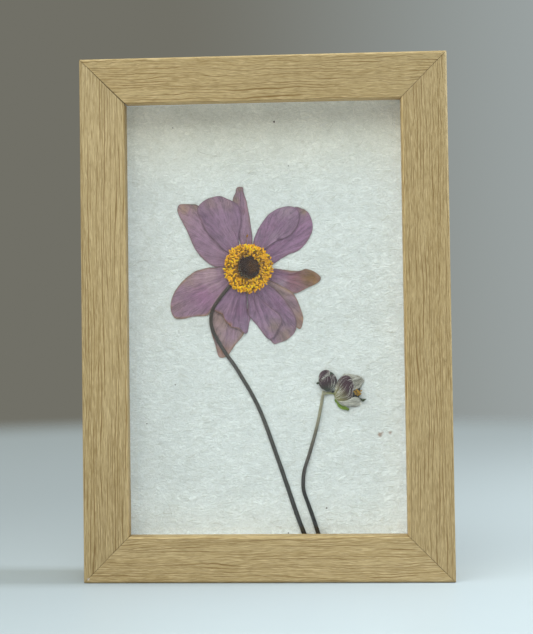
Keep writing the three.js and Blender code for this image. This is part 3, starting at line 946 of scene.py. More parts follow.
PETALS = {
    "petal_upper_left_back": Petal(
        MAUVE,
        dry_rim=0.25,
        washes=[
            (-21, 20.3, 2.4, TAN, 0.7), (-17, 20.5, 1.6, OLIVE_TAN, 0.6), (-14, 9, 4, VIOLET, 0.6),
            (-20.5, 15, 2, PINK_TAN, 0.35),
        ],
        creases=[([(-18.2, 21.5), (-18.6, 20), (-19.4, 17.9)], 0.12, 0.3)],
        # This mark is painted shadow along the top edge, by the front petal.
        marks=[([(-18.3, 21.5), (-15.5, 21.4)], 0.25, seen(84, 84, 72), 0.8)],
    ),
    "petal_upper_left_front": Petal(
        VIOLET,
        dry_rim=0.1,
        washes=[
            (-14.2, 17, 2.2, DEEP_PURPLE, 0.5), (-11.6, 12.5, 2, DEEP_PURPLE, 0.3),
            (-12, 22, 2.6, OLIVE_TAN, 0.4), (-6.5, 21.6, 2.4, PINK_TAN, 0.45),
            (-5, 12, 3, MAUVE, 0.5),
        ],
        creases=[([(-9, 23.6), (-9.2, 22.4)], -0.1, 0.3)],
        # This mark is painted shadow along the petal's right edge.
        marks=[([(-5.6, 22.5), (-2.7, 20.1), (-2.1, 16.1), (-3.2, 9.5)], 0.25, DEEP_PURPLE, 0.5)],
    ),
    "petal_top": Petal(
        MAUVE,
        dry_rim=0.3,
        washes=[
            (-3.9, 22.5, 1.6, OLIVE_TAN, 0.7), (-3.6, 18, 1.5, PINK_TAN, 0.6),
            (-1.2, 19, 1.0, RED_BROWN, 0.4), (-2.4, 26, 1.0, OLIVE_TAN, 0.7),
        ],
        creases=[
            ([(-1.7, 26.2), (-2.2, 23.9), (-2.3, 20.8), (-1.6, 17.5), (-1.9, 13.4)], 0.16, 0.3)
        ],
    ),
    "petal_upper_right_front": Petal(
        VIOLET,
        dry_rim=0.05,
        washes=[
            (7.5, 13, 3, PLUM, 0.4), (12.9, 18.8, 2.6, seen(148, 132, 140), 0.6),
            (8.8, 10.4, 2.0, PALE_LILAC, 0.35), (10.1, 9.3, 0.6, DEEP_PURPLE, 0.85),
        ],
        creases=[([(3, 6), (7.5, 11.5), (13, 16)], 0.08, 0.6)],
    ),
    "petal_upper_right_back": Petal(
        seen(139, 109, 133),
        dry_rim=0.2,
        washes=[
            (18.6, 18.6, 1.6, OLIVE_TAN, 0.8), (18.3, 15.4, 1.2, MAUVE, 0.5),
            (12, 5, 2.5, VIOLET, 0.5),
        ],
        creases=[([(7, 3.5), (13, 8), (18, 13)], 0.08, 0.5)],
    ),
    "petal_right": Petal(
        seen(134, 108, 118),
        dry_rim=0.7,
        washes=[
            (20.2, -3.2, 4.4, seen(120, 94, 62), 0.95), (22.6, -5.2, 2.2, seen(140, 106, 58), 0.5),
            (14.5, -4.3, 3.0, seen(132, 88, 92), 0.6), (11, -2.6, 3.0, PLUM, 0.5),
            (11, -5.4, 2.0, PALE_LILAC, 0.6),
        ],
        creases=[([(9, -1.9), (13.4, -2.4), (17.1, -1.4)], 0.12, 0.35)],
        marks=[
            ([(13.4, -2.4), (15.5, -2.2), (17.3, -1.2)], 0.3, RED_BROWN, 0.8),
            ([(23.8, -2.6), (24, -3.8), (23.2, -5)], 0.4, seen(84, 60, 44), 0.6),
        ],
    ),
    "petal_lower_right_back": Petal(
        PINK_TAN,
        dry_rim=0.8,
        washes=[(17.2, -17.5, 2.2, BROWN, 0.5), (15.5, -11, 2.5, MAUVE, 0.6)],
    ),
    "petal_lower_right_middle": Petal(
        VIOLET,
        dry_rim=0.3,
        washes=[
            (12, -22.2, 3.2, OLIVE_TAN, 0.65), (10.6, -10.5, 3, PLUM, 0.4),
        ],
        creases=[([(8, -9), (11.5, -14), (13.5, -19)], 0.1, 0.4)],
    ),
    "petal_lower_right_front": Petal(
        VIOLET,
        dry_rim=0.15,
        washes=[
            (8.4, -19.2, 2.4, OLIVE_TAN, 0.6), (5.4, -14, 1.8, PLUM, 0.3), (2, -10, 2, MAUVE, 0.5),
        ],
        creases=[([(1.6, -6), (4.6, -13), (6.8, -19)], 0.1, 0.4)],
        marks=[
            ([(1.1, -8.5), (2.4, -12), (4.1, -16.9)], 0.2, DEEP_PURPLE, 0.5),
            ([(3.2, -8.5), (5, -11.6), (7.1, -13.9)], 0.2, DEEP_PURPLE, 0.5),
        ],
    ),
    "petal_bottom_front": Petal(
        VIOLET,
        dry_rim=0.1,
        washes=[
            (-3.0, -14, 2.0, PLUM, 0.5), (-6.6, -13.5, 2.0, MAUVE, 0.6),
            (-6.4, -18.6, 0.9, RUST, 0.8), (-9.4, -14.6, 1.0, PINK_TAN, 0.6),
        ],
        creases=[
            ([(-2.2, -5), (-3.6, -10), (-4.4, -16)], 0.14, 0.3),
            ([(-1.4, -6), (-1.9, -12), (-2.0, -18)], -0.1, 0.3),
        ],
        marks=[
            ([(-4.6, -8.5), (-4.9, -11), (-6.3, -17.8)], 0.2, DEEP_PURPLE, 0.5),
            ([(-2.6, -8.5), (-3.0, -11), (-3.4, -17.4)], 0.2, DEEP_PURPLE, 0.5),
            ([(-11.4, -13.6), (-8.5, -15.1), (-8.1, -16.6), (-6.3, -18.7)], 0.28, BROWN, 0.85),
            ([(-6.3, -18.7), (-5.9, -19.3), (-3.2, -19.8), (-1.6, -21.4)], 0.25, BROWN, 0.8),
        ],
    ),
    "petal_bottom_back": Petal(
        PINK_TAN,
        dry_rim=0.75,
        washes=[
            (-8.6, -27.2, 2.0, seen(146, 108, 80), 0.8), (-11.6, -22, 1.2, seen(140, 106, 80), 0.7),
            (-5.6, -21.5, 3.0, MAUVE, 0.8), (-8, -17, 2.4, PINK_TAN, 0.4),
        ],
        creases=[([(-6, -16), (-7, -21), (-7.8, -26)], 0.1, 0.35)],
    ),
    "petal_left": Petal(
        MAUVE,
        dry_rim=0.6,
        washes=[
            (-14.6, -8.2, 4.2, seen(146, 104, 136), 0.6),
            (-12.6, -2.6, 3.8, seen(172, 148, 152), 0.8), (-19, -3.6, 3.0, PINK_TAN, 0.6),
            (-23.6, -12.4, 2.8, seen(140, 118, 122), 0.6), (-13.5, -13.8, 1.8, DEEP_PURPLE, 0.25),
        ],
        creases=[([(-7, -2), (-14, -5.5), (-21, -10)], 0.08, 0.7)],
    ),
}


def two_sides(outline, claw, rows):
    """The outline's two sides, from the claw to the tip, with the same number of points."""
    start = np.argmin(np.linalg.norm(outline - claw, axis=1))
    outline = np.vstack([np.roll(outline, -start, axis=0), outline[start]])
    reach = outline - outline[0]
    axis = reach.mean(axis=0) / np.linalg.norm(reach.mean(axis=0))
    along = reach @ axis
    off = np.abs(reach @ np.array([-axis[1], axis[0]]))
    off[along < 0.6 * along.max()] = np.inf
    tip = np.argmin(off)
    return walk(outline[: tip + 1], rows), walk(outline[tip:][::-1], rows), axis


def ragged_side(side, middle, amount, seed):
    """A side of a petal with small bays and bulges away from the petal's middle line."""
    outward = side - middle
    outward /= np.maximum(np.linalg.norm(outward, axis=1, keepdims=True), 1e-6)
    bulge = rough(*side.T, 0.45, seed) + 0.6 * rough(*side.T, 1.4, seed)
    fade = smoothstep(0, 0.3, np.linspace(0, 1, len(side)))
    return side + outward * (amount * fade * bulge)[:, None]


def distance_to_line(x, z, line):
    """The distance of each place from a line of points."""
    nearest = np.full(np.shape(x), np.inf)
    for (ax, az), (bx, bz) in zip(line, line[1:]):
        dx, dz = bx - ax, bz - az
        share = np.clip(((x - ax) * dx + (z - az) * dz) / (dx * dx + dz * dz), 0, 1)
        nearest = np.minimum(nearest, np.hypot(x - ax - share * dx, z - az - share * dz))
    return nearest


def is_inside(x, z, outline):
    """1 for each place inside a closed outline, and 0 outside."""
    inside = np.zeros(np.shape(x), bool)
    for (ax, az), (bx, bz) in zip(outline, np.roll(outline, -1, axis=0)):
        if az != bz:
            crosses = (az > z) != (bz > z)
            inside ^= crosses & (x < (bx - ax) * (z - az) / (bz - az) + ax)
    return inside.astype(float)


class Sheet:
    """A thin leaf-shaped sheet as a grid that runs from its claw to its tip."""

    def __init__(self, outline, claw, rows, columns, raggedness=0.0, seed=0.0):
        left, right, self.axis = two_sides(outline, claw, rows)
        middle = (left + right) / 2
        left = ragged_side(left, middle, raggedness, seed)
        right = ragged_side(right, middle, raggedness, seed + 3)
        self.length_share = np.linspace(0, 1, rows)[:, None] * np.ones(columns)
        self.width_share = np.ones((rows, 1)) * np.linspace(0, 1, columns)
        flat = left[:, None] * (1 - self.width_share[..., None])
        flat = flat + right[:, None] * self.width_share[..., None]
        self.x, self.z = flat[..., 0], flat[..., 1]
        width = np.linalg.norm(left - right, axis=1)[:, None]
        to_side = np.minimum(self.width_share, 1 - self.width_share) * width
        to_tip = np.hypot(self.x - left[-1, 0], self.z - left[-1, 1])
        self.to_edge = np.minimum(to_side, to_tip)
        self.claw = left[0]

    def fan(self, per_radian):
        """The place across veins that spread from the claw."""
        x, z = self.x - self.claw[0], self.z - self.claw[1]
        along = x * self.axis[0] + z * self.axis[1]
        off = -x * self.axis[1] + z * self.axis[0]
        return per_radian * np.arctan2(off, np.maximum(along, 1e-3))

    def add_to(self, gathered, height, thickness, tint, vein):
        front = above_paper(self.x, self.z, height)
        back = above_paper(self.x, self.z, height - thickness)
        gathered.shell(front, back, tint=tint.reshape(-1, 3), vein=vein.ravel())


def lies_over(x, z, outlines):
    """1 where the places lie over one of the outlines, fading to 0 a little way outside them."""
    over = np.zeros(np.shape(x))
    for outline in outlines:
        outside = distance_to_line(x, z, np.vstack([outline, outline[:1]]))
        outside = outside * (1 - is_inside(x, z, outline))
        over = np.maximum(over, 1 - smoothstep(0, 1.2, outside))
    return over


def near_line(x, z, line, half_width):
    """1 on a line, fading to 0 past its half width."""
    return np.exp(-((distance_to_line(x, z, line) / half_width) ** 2))


def petal_height(x, z, seed, looks, vein, over, front):
    """The petal's height above the paper: raised over others and in the middle, else draped."""
    raised = np.maximum(over, 1 - smoothstep(8, 11, np.hypot(x, z)))
    height = PETAL_DRAPED + (PAPER_FRONT - front - PETAL_DRAPED) * raised
    height += 0.05 * rough(x, z, 0.16) + 0.03 * rough(x, z, 0.5, 2.0)
    height += 0.018 * np.cos(vein * 4.2 + 1.2 * rough(x, z, 0.3, seed))
    for line, rise, half_width in looks.creases:
        height += rise * near_line(x, z, line, half_width)
    return height


def petal_tint(x, z, seed, looks, over, to_edge):
    """The petal's colour: washes, creases with painted shade, a dried rim, a dark margin that is
    partly painted shadow, painted shade where it lies over other petals, marks and a deeper tone by
    the claw.
    """
    from_centre = np.hypot(x, z)
    tint = blend(looks.ground, VIOLET, 0.2 + 0.2 * rough(x, z, 0.2, seed + 20.0))
    for wash_x, wash_z, reach, colour, strength in looks.washes:
        away = np.hypot(x - wash_x, z - wash_z) / reach + 0.35 * rough(x, z, 0.7, wash_x)
        tint = blend(tint, colour, strength * np.exp(-(np.maximum(away, 0) ** 2)))
    # Painted shade along each crease.
    for line, _, half_width in looks.creases:
        tint = blend(tint, DEEP_PURPLE, 0.3 * near_line(x, z, line, half_width))
    dry = (1 - smoothstep(0.0, 1.1, to_edge)) * smoothstep(9, 14, from_centre)
    tint = blend(tint, TAN, np.clip(looks.dry_rim * dry * (1 + rough(x, z, 0.35, 31.0)), 0, 1))
    # Painted shade where the petal lies over another.
    tint = tint * (1 - 0.05 * over[..., None])
    # The margin is partly the petal's own dark or dry rim and partly painted shadow along its edge,
    # strongest where it lies over another petal.
    margin = 1 - smoothstep(0.12, 0.4, to_edge)
    margin *= 0.5 + 0.25 * over + 0.35 * rough(x, z, 0.3, 41.0)
    tint = blend(tint, blend(DARK_RIM_AND_EDGE_SHADOW, DRY_RIM, looks.dry_rim), np.clip(margin, 0, 0.9))
    for line, half_width, colour, strength in looks.marks:
        tint = blend(tint, colour, strength * near_line(x, z, line, half_width))
    return blend(tint, DEEP_PURPLE, 0.22 * (1 - smoothstep(8, 13, from_centre)))


def petal(node, seed, looks, outlines, material):
    claw = (FLOWER_X, FLOWER_Z)
    sheet = Sheet(outlines[node], claw, PETAL_ROWS, PETAL_COLUMNS, raggedness=0.11, seed=seed)
    front = box_mm(node)[0][1]
    lower = [line for name, line in outlines.items() if box_mm(name)[0][1] > front + 0.01]
    over = lies_over(sheet.x, sheet.z, lower)
    x, z = sheet.x - FLOWER_X, sheet.z - FLOWER_Z
    vein = sheet.fan(9.0)
    height = petal_height(x, z, seed, looks, vein, over, front)
    tint = petal_tint(x, z, seed, looks, over, sheet.to_edge)
    gathered = Gathered()
    sheet.add_to(gathered, height, PETAL_SHEET, tint, vein)
    finish_piece(gathered.build(f"pressed_{node}", sharp_angle=60), [material], "petal", node)


def petals():
    material = tissue_material(
        "petal", veins=0.1, mottle=0.15, roughness=0.75, relief=0.05, lines=0.28
    )
    outlines = {node: node_outline(node) for node in PETALS}
    for seed, (node, looks) in enumerate(PETALS.items()):
        petal(node, seed, looks, outlines, material)


# ---- Stamens and carpels ----

GOLD = seen(228, 175, 8)
BRIGHT_GOLD = seen(242, 194, 30)
AMBER = seen(206, 150, 10)
DULL_GOLD = seen(158, 114, 20)
POLLEN_BROWN = seen(120, 88, 22)
FILAMENT = seen(132, 96, 28)
STAMEN_TINTS = [GOLD, GOLD, GOLD, GOLD, GOLD, AMBER, AMBER, BRIGHT_GOLD]
STAMEN_COUNT = 470
STAMEN_INNER = 4.0
STAMEN_OUTER = 7.9
STAMEN_ROOT = (3.2, 0.95)
STAMEN_HEIGHTS = (0.95, 1.75)
GOLDEN_ANGLE = math.pi * (3 - math.sqrt(5))


def anther(gathered, centre, heading, tilt, length, width, tint):
    """Two plump pollen sacs side by side, as one small body with a groove."""
    flat = math.cos(tilt)
    forward = np.array([math.cos(heading) * flat, -math.sin(tilt), math.sin(heading) * flat])
    across = np.cross(forward, (0, 1, 0))
    across /= np.linalg.norm(across)
    lift = np.cross(across, forward)
    rings = []
    for share in np.linspace(-1, 1, 7):
        swell = math.sqrt(max(1 - (0.96 * share) ** 4, 0))
        ring = []
        for turn in turns(10):
            groove = 1 - 0.4 * math.exp(-((math.cos(turn) / 0.35) ** 2))
            side = across * (math.cos(turn) * width / 2 * swell)
            ring.append(side + lift * (math.sin(turn) * groove * width * 0.4 * swell))
        rings.append(centre + forward * share * length / 2 + np.array(ring))
    gathered.tube(rings, tint=tint, vein=0.0)


def from_flower(turn, reach, height):
    """A point above the paper, a way out from the flower's centre."""
    x, z = FLOWER_X + reach * math.cos(turn), FLOWER_Z + reach * math.sin(turn)
    return above_paper(x, z, height)


def stamen(gathered, root, end, droop, heading, size, tint):
    """A thin stalk that arches from its root to the anther at its end."""
    share = np.linspace(0, 1, 6)[:, None]
    path = root * (1 - share) + end * share
    path[:, 1] -= droop * np.sin(math.pi * share[:, 0])
    gathered.tube(strand_rings(path, 0.14, 0.12, 5), tint=FILAMENT, vein=0.0)
    anther(gathered, end, heading, 0.15, size, 0.54 * size, tint)


def stamens():
    """A ring of stamens set in a spiral, and a stray one that lies on the top petal."""
    rng = random.Random(5)
    gathered = Gathered()
    for i in range(STAMEN_COUNT):
        turn = i * GOLDEN_ANGLE
        outer = STAMEN_OUTER + 0.35 * math.sin(3 * turn + 1) * rng.random()
        share = (i + 0.5) / STAMEN_COUNT
        reach = math.sqrt(STAMEN_INNER**2 + share * (outer**2 - STAMEN_INNER**2))
        reach += rng.uniform(-0.25, 0.25)
        root = from_flower(turn, *STAMEN_ROOT)
        end = from_flower(turn, reach, rng.uniform(*STAMEN_HEIGHTS))
        # Near the inner edge the anthers are darkened and more often brown, as painted shade by the
        # dome.
        inner = smoothstep(5.0, 4.0, reach)
        tint = rng.choice(STAMEN_TINTS)
        if rng.random() < 0.06 + 0.2 * inner:
            tint = POLLEN_BROWN
        tint = blend(tint, DULL_GOLD, 0.6 * inner)
        heading = turn + rng.gauss(0, 0.6)
        stamen(gathered, root, end, rng.uniform(0, 0.3), heading, rng.uniform(0.85, 1.15), tint)
    stray_root = above_paper(FLOWER_X - 0.7, FLOWER_Z + 6.5, 1.0)
    stray_end = above_paper(FLOWER_X - 0.1, FLOWER_Z + 10.6, 0.9)
    stamen(gathered, stray_root, stray_end, 0.2, 1.2, 1.0, DULL_GOLD)
    material = tissue_material("stamen", veins=0.0, mottle=0.2, roughness=0.85, gloss=0.1)
    finish_piece(gathered.build("pressed_stamens", 60), [material], "stamen", "stamens")


DOME_BROWN = seen(104, 74, 32)
DOME_OLIVE = seen(60, 46, 24)
DOME_PAINTED_HIGHLIGHT = seen(120, 112, 84)
CARPEL_COUNT = 160
DOME_FOOT = (1.4, 0.1)
DOME_SKIRT = 1.3
DOME_CORNERS = 36


def upright_rings(path, widths, sides):
    """Rings of points round a short path that stands off the paper."""
    rings = []
    for (x, y, z), width in zip(path, widths):
        ring_x, ring_z = oval((x, z), width / 2, width / 2, sides)
        rings.append(np.column_stack([ring_x, np.full(sides, y), ring_z]))
    return rings


def dome(gathered, middle, radius, dome_height):
    """The dome's own body, on a narrow foot."""
    foot, foot_height = DOME_FOOT
    rings = [above_paper(*oval(middle, foot, foot, DOME_CORNERS), foot_height)]
    rim = 0.95 * radius
    rings.append(above_paper(*oval(middle, rim, rim, DOME_CORNERS), DOME_SKIRT - 0.1))
    for share in (0.98, 0.9, 0.75, 0.5, 0.2):
        reach = radius * share
        x, z = oval(middle, reach, reach, DOME_CORNERS)
        rings.append(above_paper(x, z, dome_height(share)))
    gathered.tube(rings, tint=DOME_OLIVE, vein=0.0)


def carpels():
    """A low dome set with small pointed carpels, from the middle outwards in a spiral, with a
    painted highlight on its lower left rim.
    """
    rng = random.Random(8)
    low, high = box_mm("flower_centre")
    middle = (low + high)[[0, 2]] / 2
    radius = (high[0] - low[0]) / 2
    rise = PAPER_FRONT - low[1] - DOME_SKIRT - 0.2

    def dome_height(share):
        return DOME_SKIRT + rise * (1 - share**2.5)

    gathered = Gathered()
    dome(gathered, middle, radius, dome_height)
    for i in range(CARPEL_COUNT):
        turn = i * GOLDEN_ANGLE
        share = math.sqrt((i + 0.5) / CARPEL_COUNT)
        outwards = np.array([math.cos(turn), math.sin(turn)])
        # A painted highlight on the carpels at the rim on the lower left; those right of the middle
        # are browner.
        lit = smoothstep(0.72, 1.0, share) * smoothstep(0.2, 1.0, -outwards @ (0.75, 0.66))
        brown = smoothstep(0.75, 0.2, math.hypot(share * outwards[0] - 0.25, share * outwards[1]))
        tint = blend(blend(DOME_OLIVE, DOME_BROWN, brown), DOME_PAINTED_HIGHLIGHT, 0.85 * lit)
        tint = tint * rng.uniform(0.5, 1.45)
        base = above_paper(*(middle + radius * share * outwards), dome_height(share) - 0.1)
        lean = np.array([0.28 * share * outwards[0], -0.24, 0.28 * share * outwards[1]])
        path = [base, base + 0.6 * lean, base + 1.1 * lean]
        gathered.tube(upright_rings(path, (0.46, 0.4, 0.12), 7), tint=tint, vein=0.0)
    material = tissue_material("carpel", veins=0.0, mottle=0.25, roughness=0.85, gloss=0.15)
    finish_piece(gathered.build("pressed_carpels", 50), [material], "carpel", "flower_centre")


# ---- Stems ----
# Centre lines as in the CAD part: x, z and the height of the underside above the paper. The
# flower's stem is measured from the flower's centre.

FLOWER_STEM = [
    (-1.3, -1.6, 0.68), (-3.6, -3.5, 0.68), (-6.3, -6.1, 0.66), (-9.6, -10, 0.66),
    (-11.7, -13.3, 0.64), (-12.4, -16.7, 0.5), (-11.9, -20.2, 0.36), (-10, -24, 0.28),
    (-7.4, -28.3, 0.26), (-3.7, -33.7, 0.12), (3.1, -46.2, 0.06), (9.1, -63, 0.06),
    (14.8, -80.4, 0.06), (17.9, -89, 0.06),
]
BUD_STEM = [
    (18.8, 61.2, 0.06), (18.1, 57.7, 0.06), (16.7, 51, 0.06), (15.3, 45.8, 0.06),
    (13.6, 40.2, 0.06), (12.1, 35.6, 0.06), (11.6, 31.8, 0.06), (11.8, 28.5, 0.06),
    (13.2, 24.3, 0.06), (14.9, 19.2, 0.06), (16.8, 12.9, 0.06),
]
BUD_BRANCH = [(18.7, 60.2, 0.06), (20.4, 60.6, 0.06), (22.3, 60.4, 0.06)]
STEM_TOP = seen(76, 72, 68)
STEM_DARK = seen(75, 73, 68)
STEM_BLACK = seen(50, 49, 47)
STEM_PALE = seen(142, 142, 116)
STEM_MIDDLE = seen(98, 96, 84)
STEM_GREEN = seen(126, 134, 78)
STEM_PAINTED_HIGHLIGHT = seen(88, 90, 82)


STEM_SIDES = 20


def stem(gathered, route, width, thickness, colours, rings):
    """A flattened stem with ribs along it and a painted highlight down one side. colours are shares
    of its length with their tints.
    """
    x, z, height = curved(np.array(route, float), rings).T
    share = np.linspace(0, 1, rings)
    width = np.interp(share, (0, 1), width) * (1 + 0.05 * rough(x, z, 0.25))
    path = above_paper(x, z, height + thickness / 2)
    body = strand_rings(path, width, thickness, STEM_SIDES, ribs=6, rib_depth=0.05)
    places, tints = zip(*colours)
    tint = np.column_stack([np.interp(share, places, part) for part in zip(*tints)])
    around = turns(STEM_SIDES)
    # A painted highlight down one side of the stem.
    lit = 0.35 * np.clip(np.cos(around - 0.9), 0, 1) ** 2
    tint = blend(np.repeat(tint[:, None], STEM_SIDES, axis=1), STEM_PAINTED_HIGHLIGHT, np.tile(lit, (rings, 1)))
    vein = np.tile(around * 0.6, rings)
    gathered.tube(body, tint=tint.reshape(-1, 3), vein=vein)


def stems():
    material = tissue_material("stem", veins=0.25, mottle=0.15, relief=0.05, gloss=0.12)
    flower_stem = Gathered()
    from_centre = [(x + FLOWER_X, z + FLOWER_Z, height) for x, z, height in FLOWER_STEM]
    shades = [(0, STEM_TOP), (0.15, STEM_TOP), (0.6, STEM_DARK), (1, STEM_BLACK)]
    stem(flower_stem, from_centre, (1.0, 1.4), 0.5, shades, 150)
    finish_piece(flower_stem.build("pressed_flower_stem", 70), [material], "stem", "flower_stem")

    bud_stem = Gathered()
    shades = [(0, STEM_PALE), (0.12, STEM_PALE), (0.3, STEM_MIDDLE), (0.5, STEM_TOP)]
    shades += [(0.72, STEM_BLACK), (1, STEM_BLACK)]
    stem(bud_stem, BUD_STEM, (0.9, 1.28), 0.6, shades, 90)
    stem(bud_stem, BUD_BRANCH, (0.9, 0.8), 0.5, [(0, STEM_PALE), (1, STEM_GREEN)], 16)
    finish_piece(bud_stem.build("pressed_bud_stem", 70), [material], "stem", "bud_stem")


# ---- Buds ----

BUD_PURPLE = seen(66, 46, 53)
BUD_GREEN = seen(52, 60, 46)
BUD_LEAF = seen(128, 128, 84)
BUD_TIP = seen(56, 66, 44)
SILK = seen(216, 220, 206)
SILK_GREY = seen(160, 164, 150)
SILK_DARK = seen(118, 118, 104)
LEAF_GREEN = seen(112, 140, 48)
LEAF_DARK = seen(60, 74, 44)
GAP_PAINTED_SHADE = seen(40, 36, 32)
BUD_POLLEN = seen(142, 112, 14)


class Sepal(NamedTuple):
    """A sepal with its hairs, how far it is raised, and its tint at its base and its tip."""

    outline: list
    hairs: int
    raised: float
    base: tuple
    tip: tuple


class Bud(NamedTuple):
    """A bud's dome, the tint of its inside, and its sepals from the back to the front."""

    middle: tuple
    half_size: tuple
    depth: float
    inside: tuple
    sepals: list


SMALL_BUD = Bud(
    middle=(20.1, 64.6),
    half_size=(3.2, 3.5),
    depth=1.45,
    inside=BUD_GREEN,
    sepals=[
        Sepal(
            outline=[
                (17.1, 64.2), (19.1, 65.9), (20.8, 66.4), (20.5, 68.0), (18.6, 67.9), (17.3, 66.5),
            ],
            hairs=12, raised=0.1, base=BUD_PURPLE, tip=BUD_PURPLE,
        ),
        Sepal(
            outline=[
                (21.0, 61.5), (22.2, 62.0), (23.0, 63.4), (23.1, 65.1), (22.2, 66.5), (21.0, 66.3),
                (21.2, 65.3), (21.2, 63.3),
            ],
            hairs=26, raised=0.12, base=BUD_GREEN, tip=BUD_PURPLE,
        ),
        Sepal(
            outline=[
                (19.6, 61.2), (18.1, 62.0), (17.2, 63.9), (19.0, 65.7), (20.7, 66.3), (21.3, 65.2),
                (21.4, 63.2), (20.8, 61.4),
            ],
            hairs=12, raised=0.24, base=BUD_GREEN, tip=BUD_PURPLE,
        ),
    ],
)
LARGE_BUD = Bud(
    middle=(26.6, 61.2),
    half_size=(4.6, 5.3),
    depth=1.45,
    # The large bud's dark inside is painted shade, seen between its sepals.
    inside=GAP_PAINTED_SHADE,
    sepals=[
        Sepal(
            outline=[
                (24.6, 62.5), (25.1, 66.4), (26.6, 66.7), (28.4, 66.5), (30.2, 66.1), (31.6, 65.1),
                (32.0, 64.2), (31.2, 63.1), (30.7, 62.2), (29.4, 61.7), (27.0, 61.2),
            ],
            hairs=90, raised=0.0, base=SILK_DARK, tip=SILK_DARK,
        ),
        Sepal(
            outline=[
                (22.6, 58.4), (24.2, 58.2), (26.0, 58.3), (27.5, 58.8), (28.8, 59.2), (30.1, 58.8),
                (30.8, 57.8), (30.7, 56.6), (29.3, 55.9), (27.5, 55.9), (25.7, 56.2), (24.2, 56.8),
            ],
            hairs=50, raised=0.02, base=SILK_GREY, tip=SILK_GREY,
        ),
        Sepal(
            outline=[
                (30.4, 58.9), (31.2, 58.6), (32.6, 58.5), (31.9, 57.9), (31.3, 57.6), (30.6, 58.2),
            ],
            hairs=0, raised=0.3, base=BUD_TIP, tip=BUD_TIP,
        ),
        Sepal(
            outline=[
                (22.3, 58.8), (22.1, 60.3), (22.4, 62.3), (23.1, 63.9), (24.0, 65.4), (25.5, 66.3),
                (26.8, 66.2), (27.7, 65.3), (28.4, 64.1), (28.7, 62.8), (28.3, 61.5), (28.1, 60.0),
                (27.7, 58.8), (26.4, 58.1), (25.0, 57.7), (23.5, 57.9),
            ],
            hairs=38, raised=0.18, base=BUD_LEAF, tip=BUD_PURPLE,
        ),
    ],
)

# The knob at the small bud's tip, a dark body as painted shade in the gap by its stalk, and the
# pollen in the large bud.
KNOB = (16.9, 63.8)
SHADED_GAP = (21.7, 60.9)
POLLEN_COUNT = 16
POLLEN_X = (28.6, 30.9)
POLLEN_Z = (59.7, 61.6)

BRACT_OUTLINE = [
    (22.2, 58.6), (22.3, 57.9), (22.8, 57.3), (23.5, 55.9), (24.3, 55.4), (25.3, 55.0),
    (26.7, 54.7), (27.1, 55.2), (26.6, 55.6), (25.6, 56.2), (24.3, 56.6), (23.4, 57.6),
    (22.7, 58.5),
]


def bud_height(bud, x, z):
    """The height of a bud's domed front above the paper."""
    (middle_x, middle_z), (half_x, half_z) = bud.middle, bud.half_size
    away = np.hypot((x - middle_x) / half_x, (z - middle_z) / half_z)
    return 0.25 + bud.depth * np.sqrt(np.clip(1 - away**2, 0, 1))


def bud_core(gathered, bud):
    """The dark inside of the bud, a little smaller than its sepals."""
    half_x, half_z = bud.half_size
    rings = []
    for share, back in ((0.4, 0.08), (0.8, 0.12), (0.88, 0), (0.8, 0), (0.6, 0), (0.3, 0)):
        x, z = oval(bud.middle, share * half_x, share * half_z, 28)
        front = np.maximum(bud_height(bud, x, z) - 0.3, 0.3)
        rings.append(above_paper(x, z, back or front))
    gathered.tube(rings, tint=bud.inside, vein=0.0)


def sepal(gathered, bud, looks, seed):
    outline = curved(looks.outline + looks.outline[:1], 80)[:-1]
    sheet = Sheet(outline, looks.outline[0], 26, 20, raggedness=0.06, seed=seed)
    height = bud_height(bud, sheet.x, sheet.z) + looks.raised
    cupped = np.sin(math.pi * sheet.width_share) * np.sin(math.pi * sheet.length_share)
    height = height + 0.06 * cupped - 0.12 * (1 - smoothstep(0, 0.5, sheet.to_edge))
    tint = blend(looks.base, looks.tip, smoothstep(0.1, 0.6, sheet.length_share))
    tint = blend(tint, SILK_DARK, 0.5 * (1 - smoothstep(0, 0.3, sheet.to_edge)))
    sheet.add_to(gathered, height, 0.08, tint, sheet.fan(3.0))
    return sheet, height


def between(grid, row, column):
    """A grid's value at a place between its points."""
    a, b = int(row), min(int(column), grid.shape[1] - 2)
    u, v = row - a, column - b
    near = (1 - v) * grid[a, b] + v * grid[a, b + 1]
    far = (1 - v) * grid[a + 1, b] + v * grid[a + 1, b + 1]
    return (1 - u) * near + u * far


def silky_hairs(gathered, sheet, height, count, length, rng):
    """Fine hairs that lie along a sepal, from its base towards its tip and a little past it."""
    rows, columns = sheet.x.shape
    for _ in range(count):
        row = rng.uniform(0, rows - 2)
        column = rng.uniform(0, columns - 1)
        reach = length * rows * rng.uniform(0.5, 1.0)
        path = []
        for share in np.linspace(0, 1, 6):
            at = min(row + reach * share, rows - 1.001)
            past = max(row + reach * share - (rows - 1), 0)
            x, z, lift = (between(grid, at, column) for grid in (sheet.x, sheet.z, height))
            x, z = np.array([x, z]) + past * 0.12 * sheet.axis
            path.append((x, PAPER_FRONT - lift - 0.05 - 0.06 * share, z))
        width = np.interp(np.linspace(0, 1, 6), (0, 0.3, 1), (0.05, 0.07, 0.02))
        gathered.tube(strand_rings(path, width, width, 3), tint=SILK, vein=0.0)


def sepals(gathered, bud, first_seed, hair_length, rng):
    """The bud's inside and its sepals, from the back to the front."""
    bud_core(gathered, bud)
    for seed, looks in enumerate(bud.sepals):
        sheet, height = sepal(gathered, bud, looks, first_seed + seed)
        silky_hairs(gathered, sheet, height, looks.hairs, hair_length, rng)


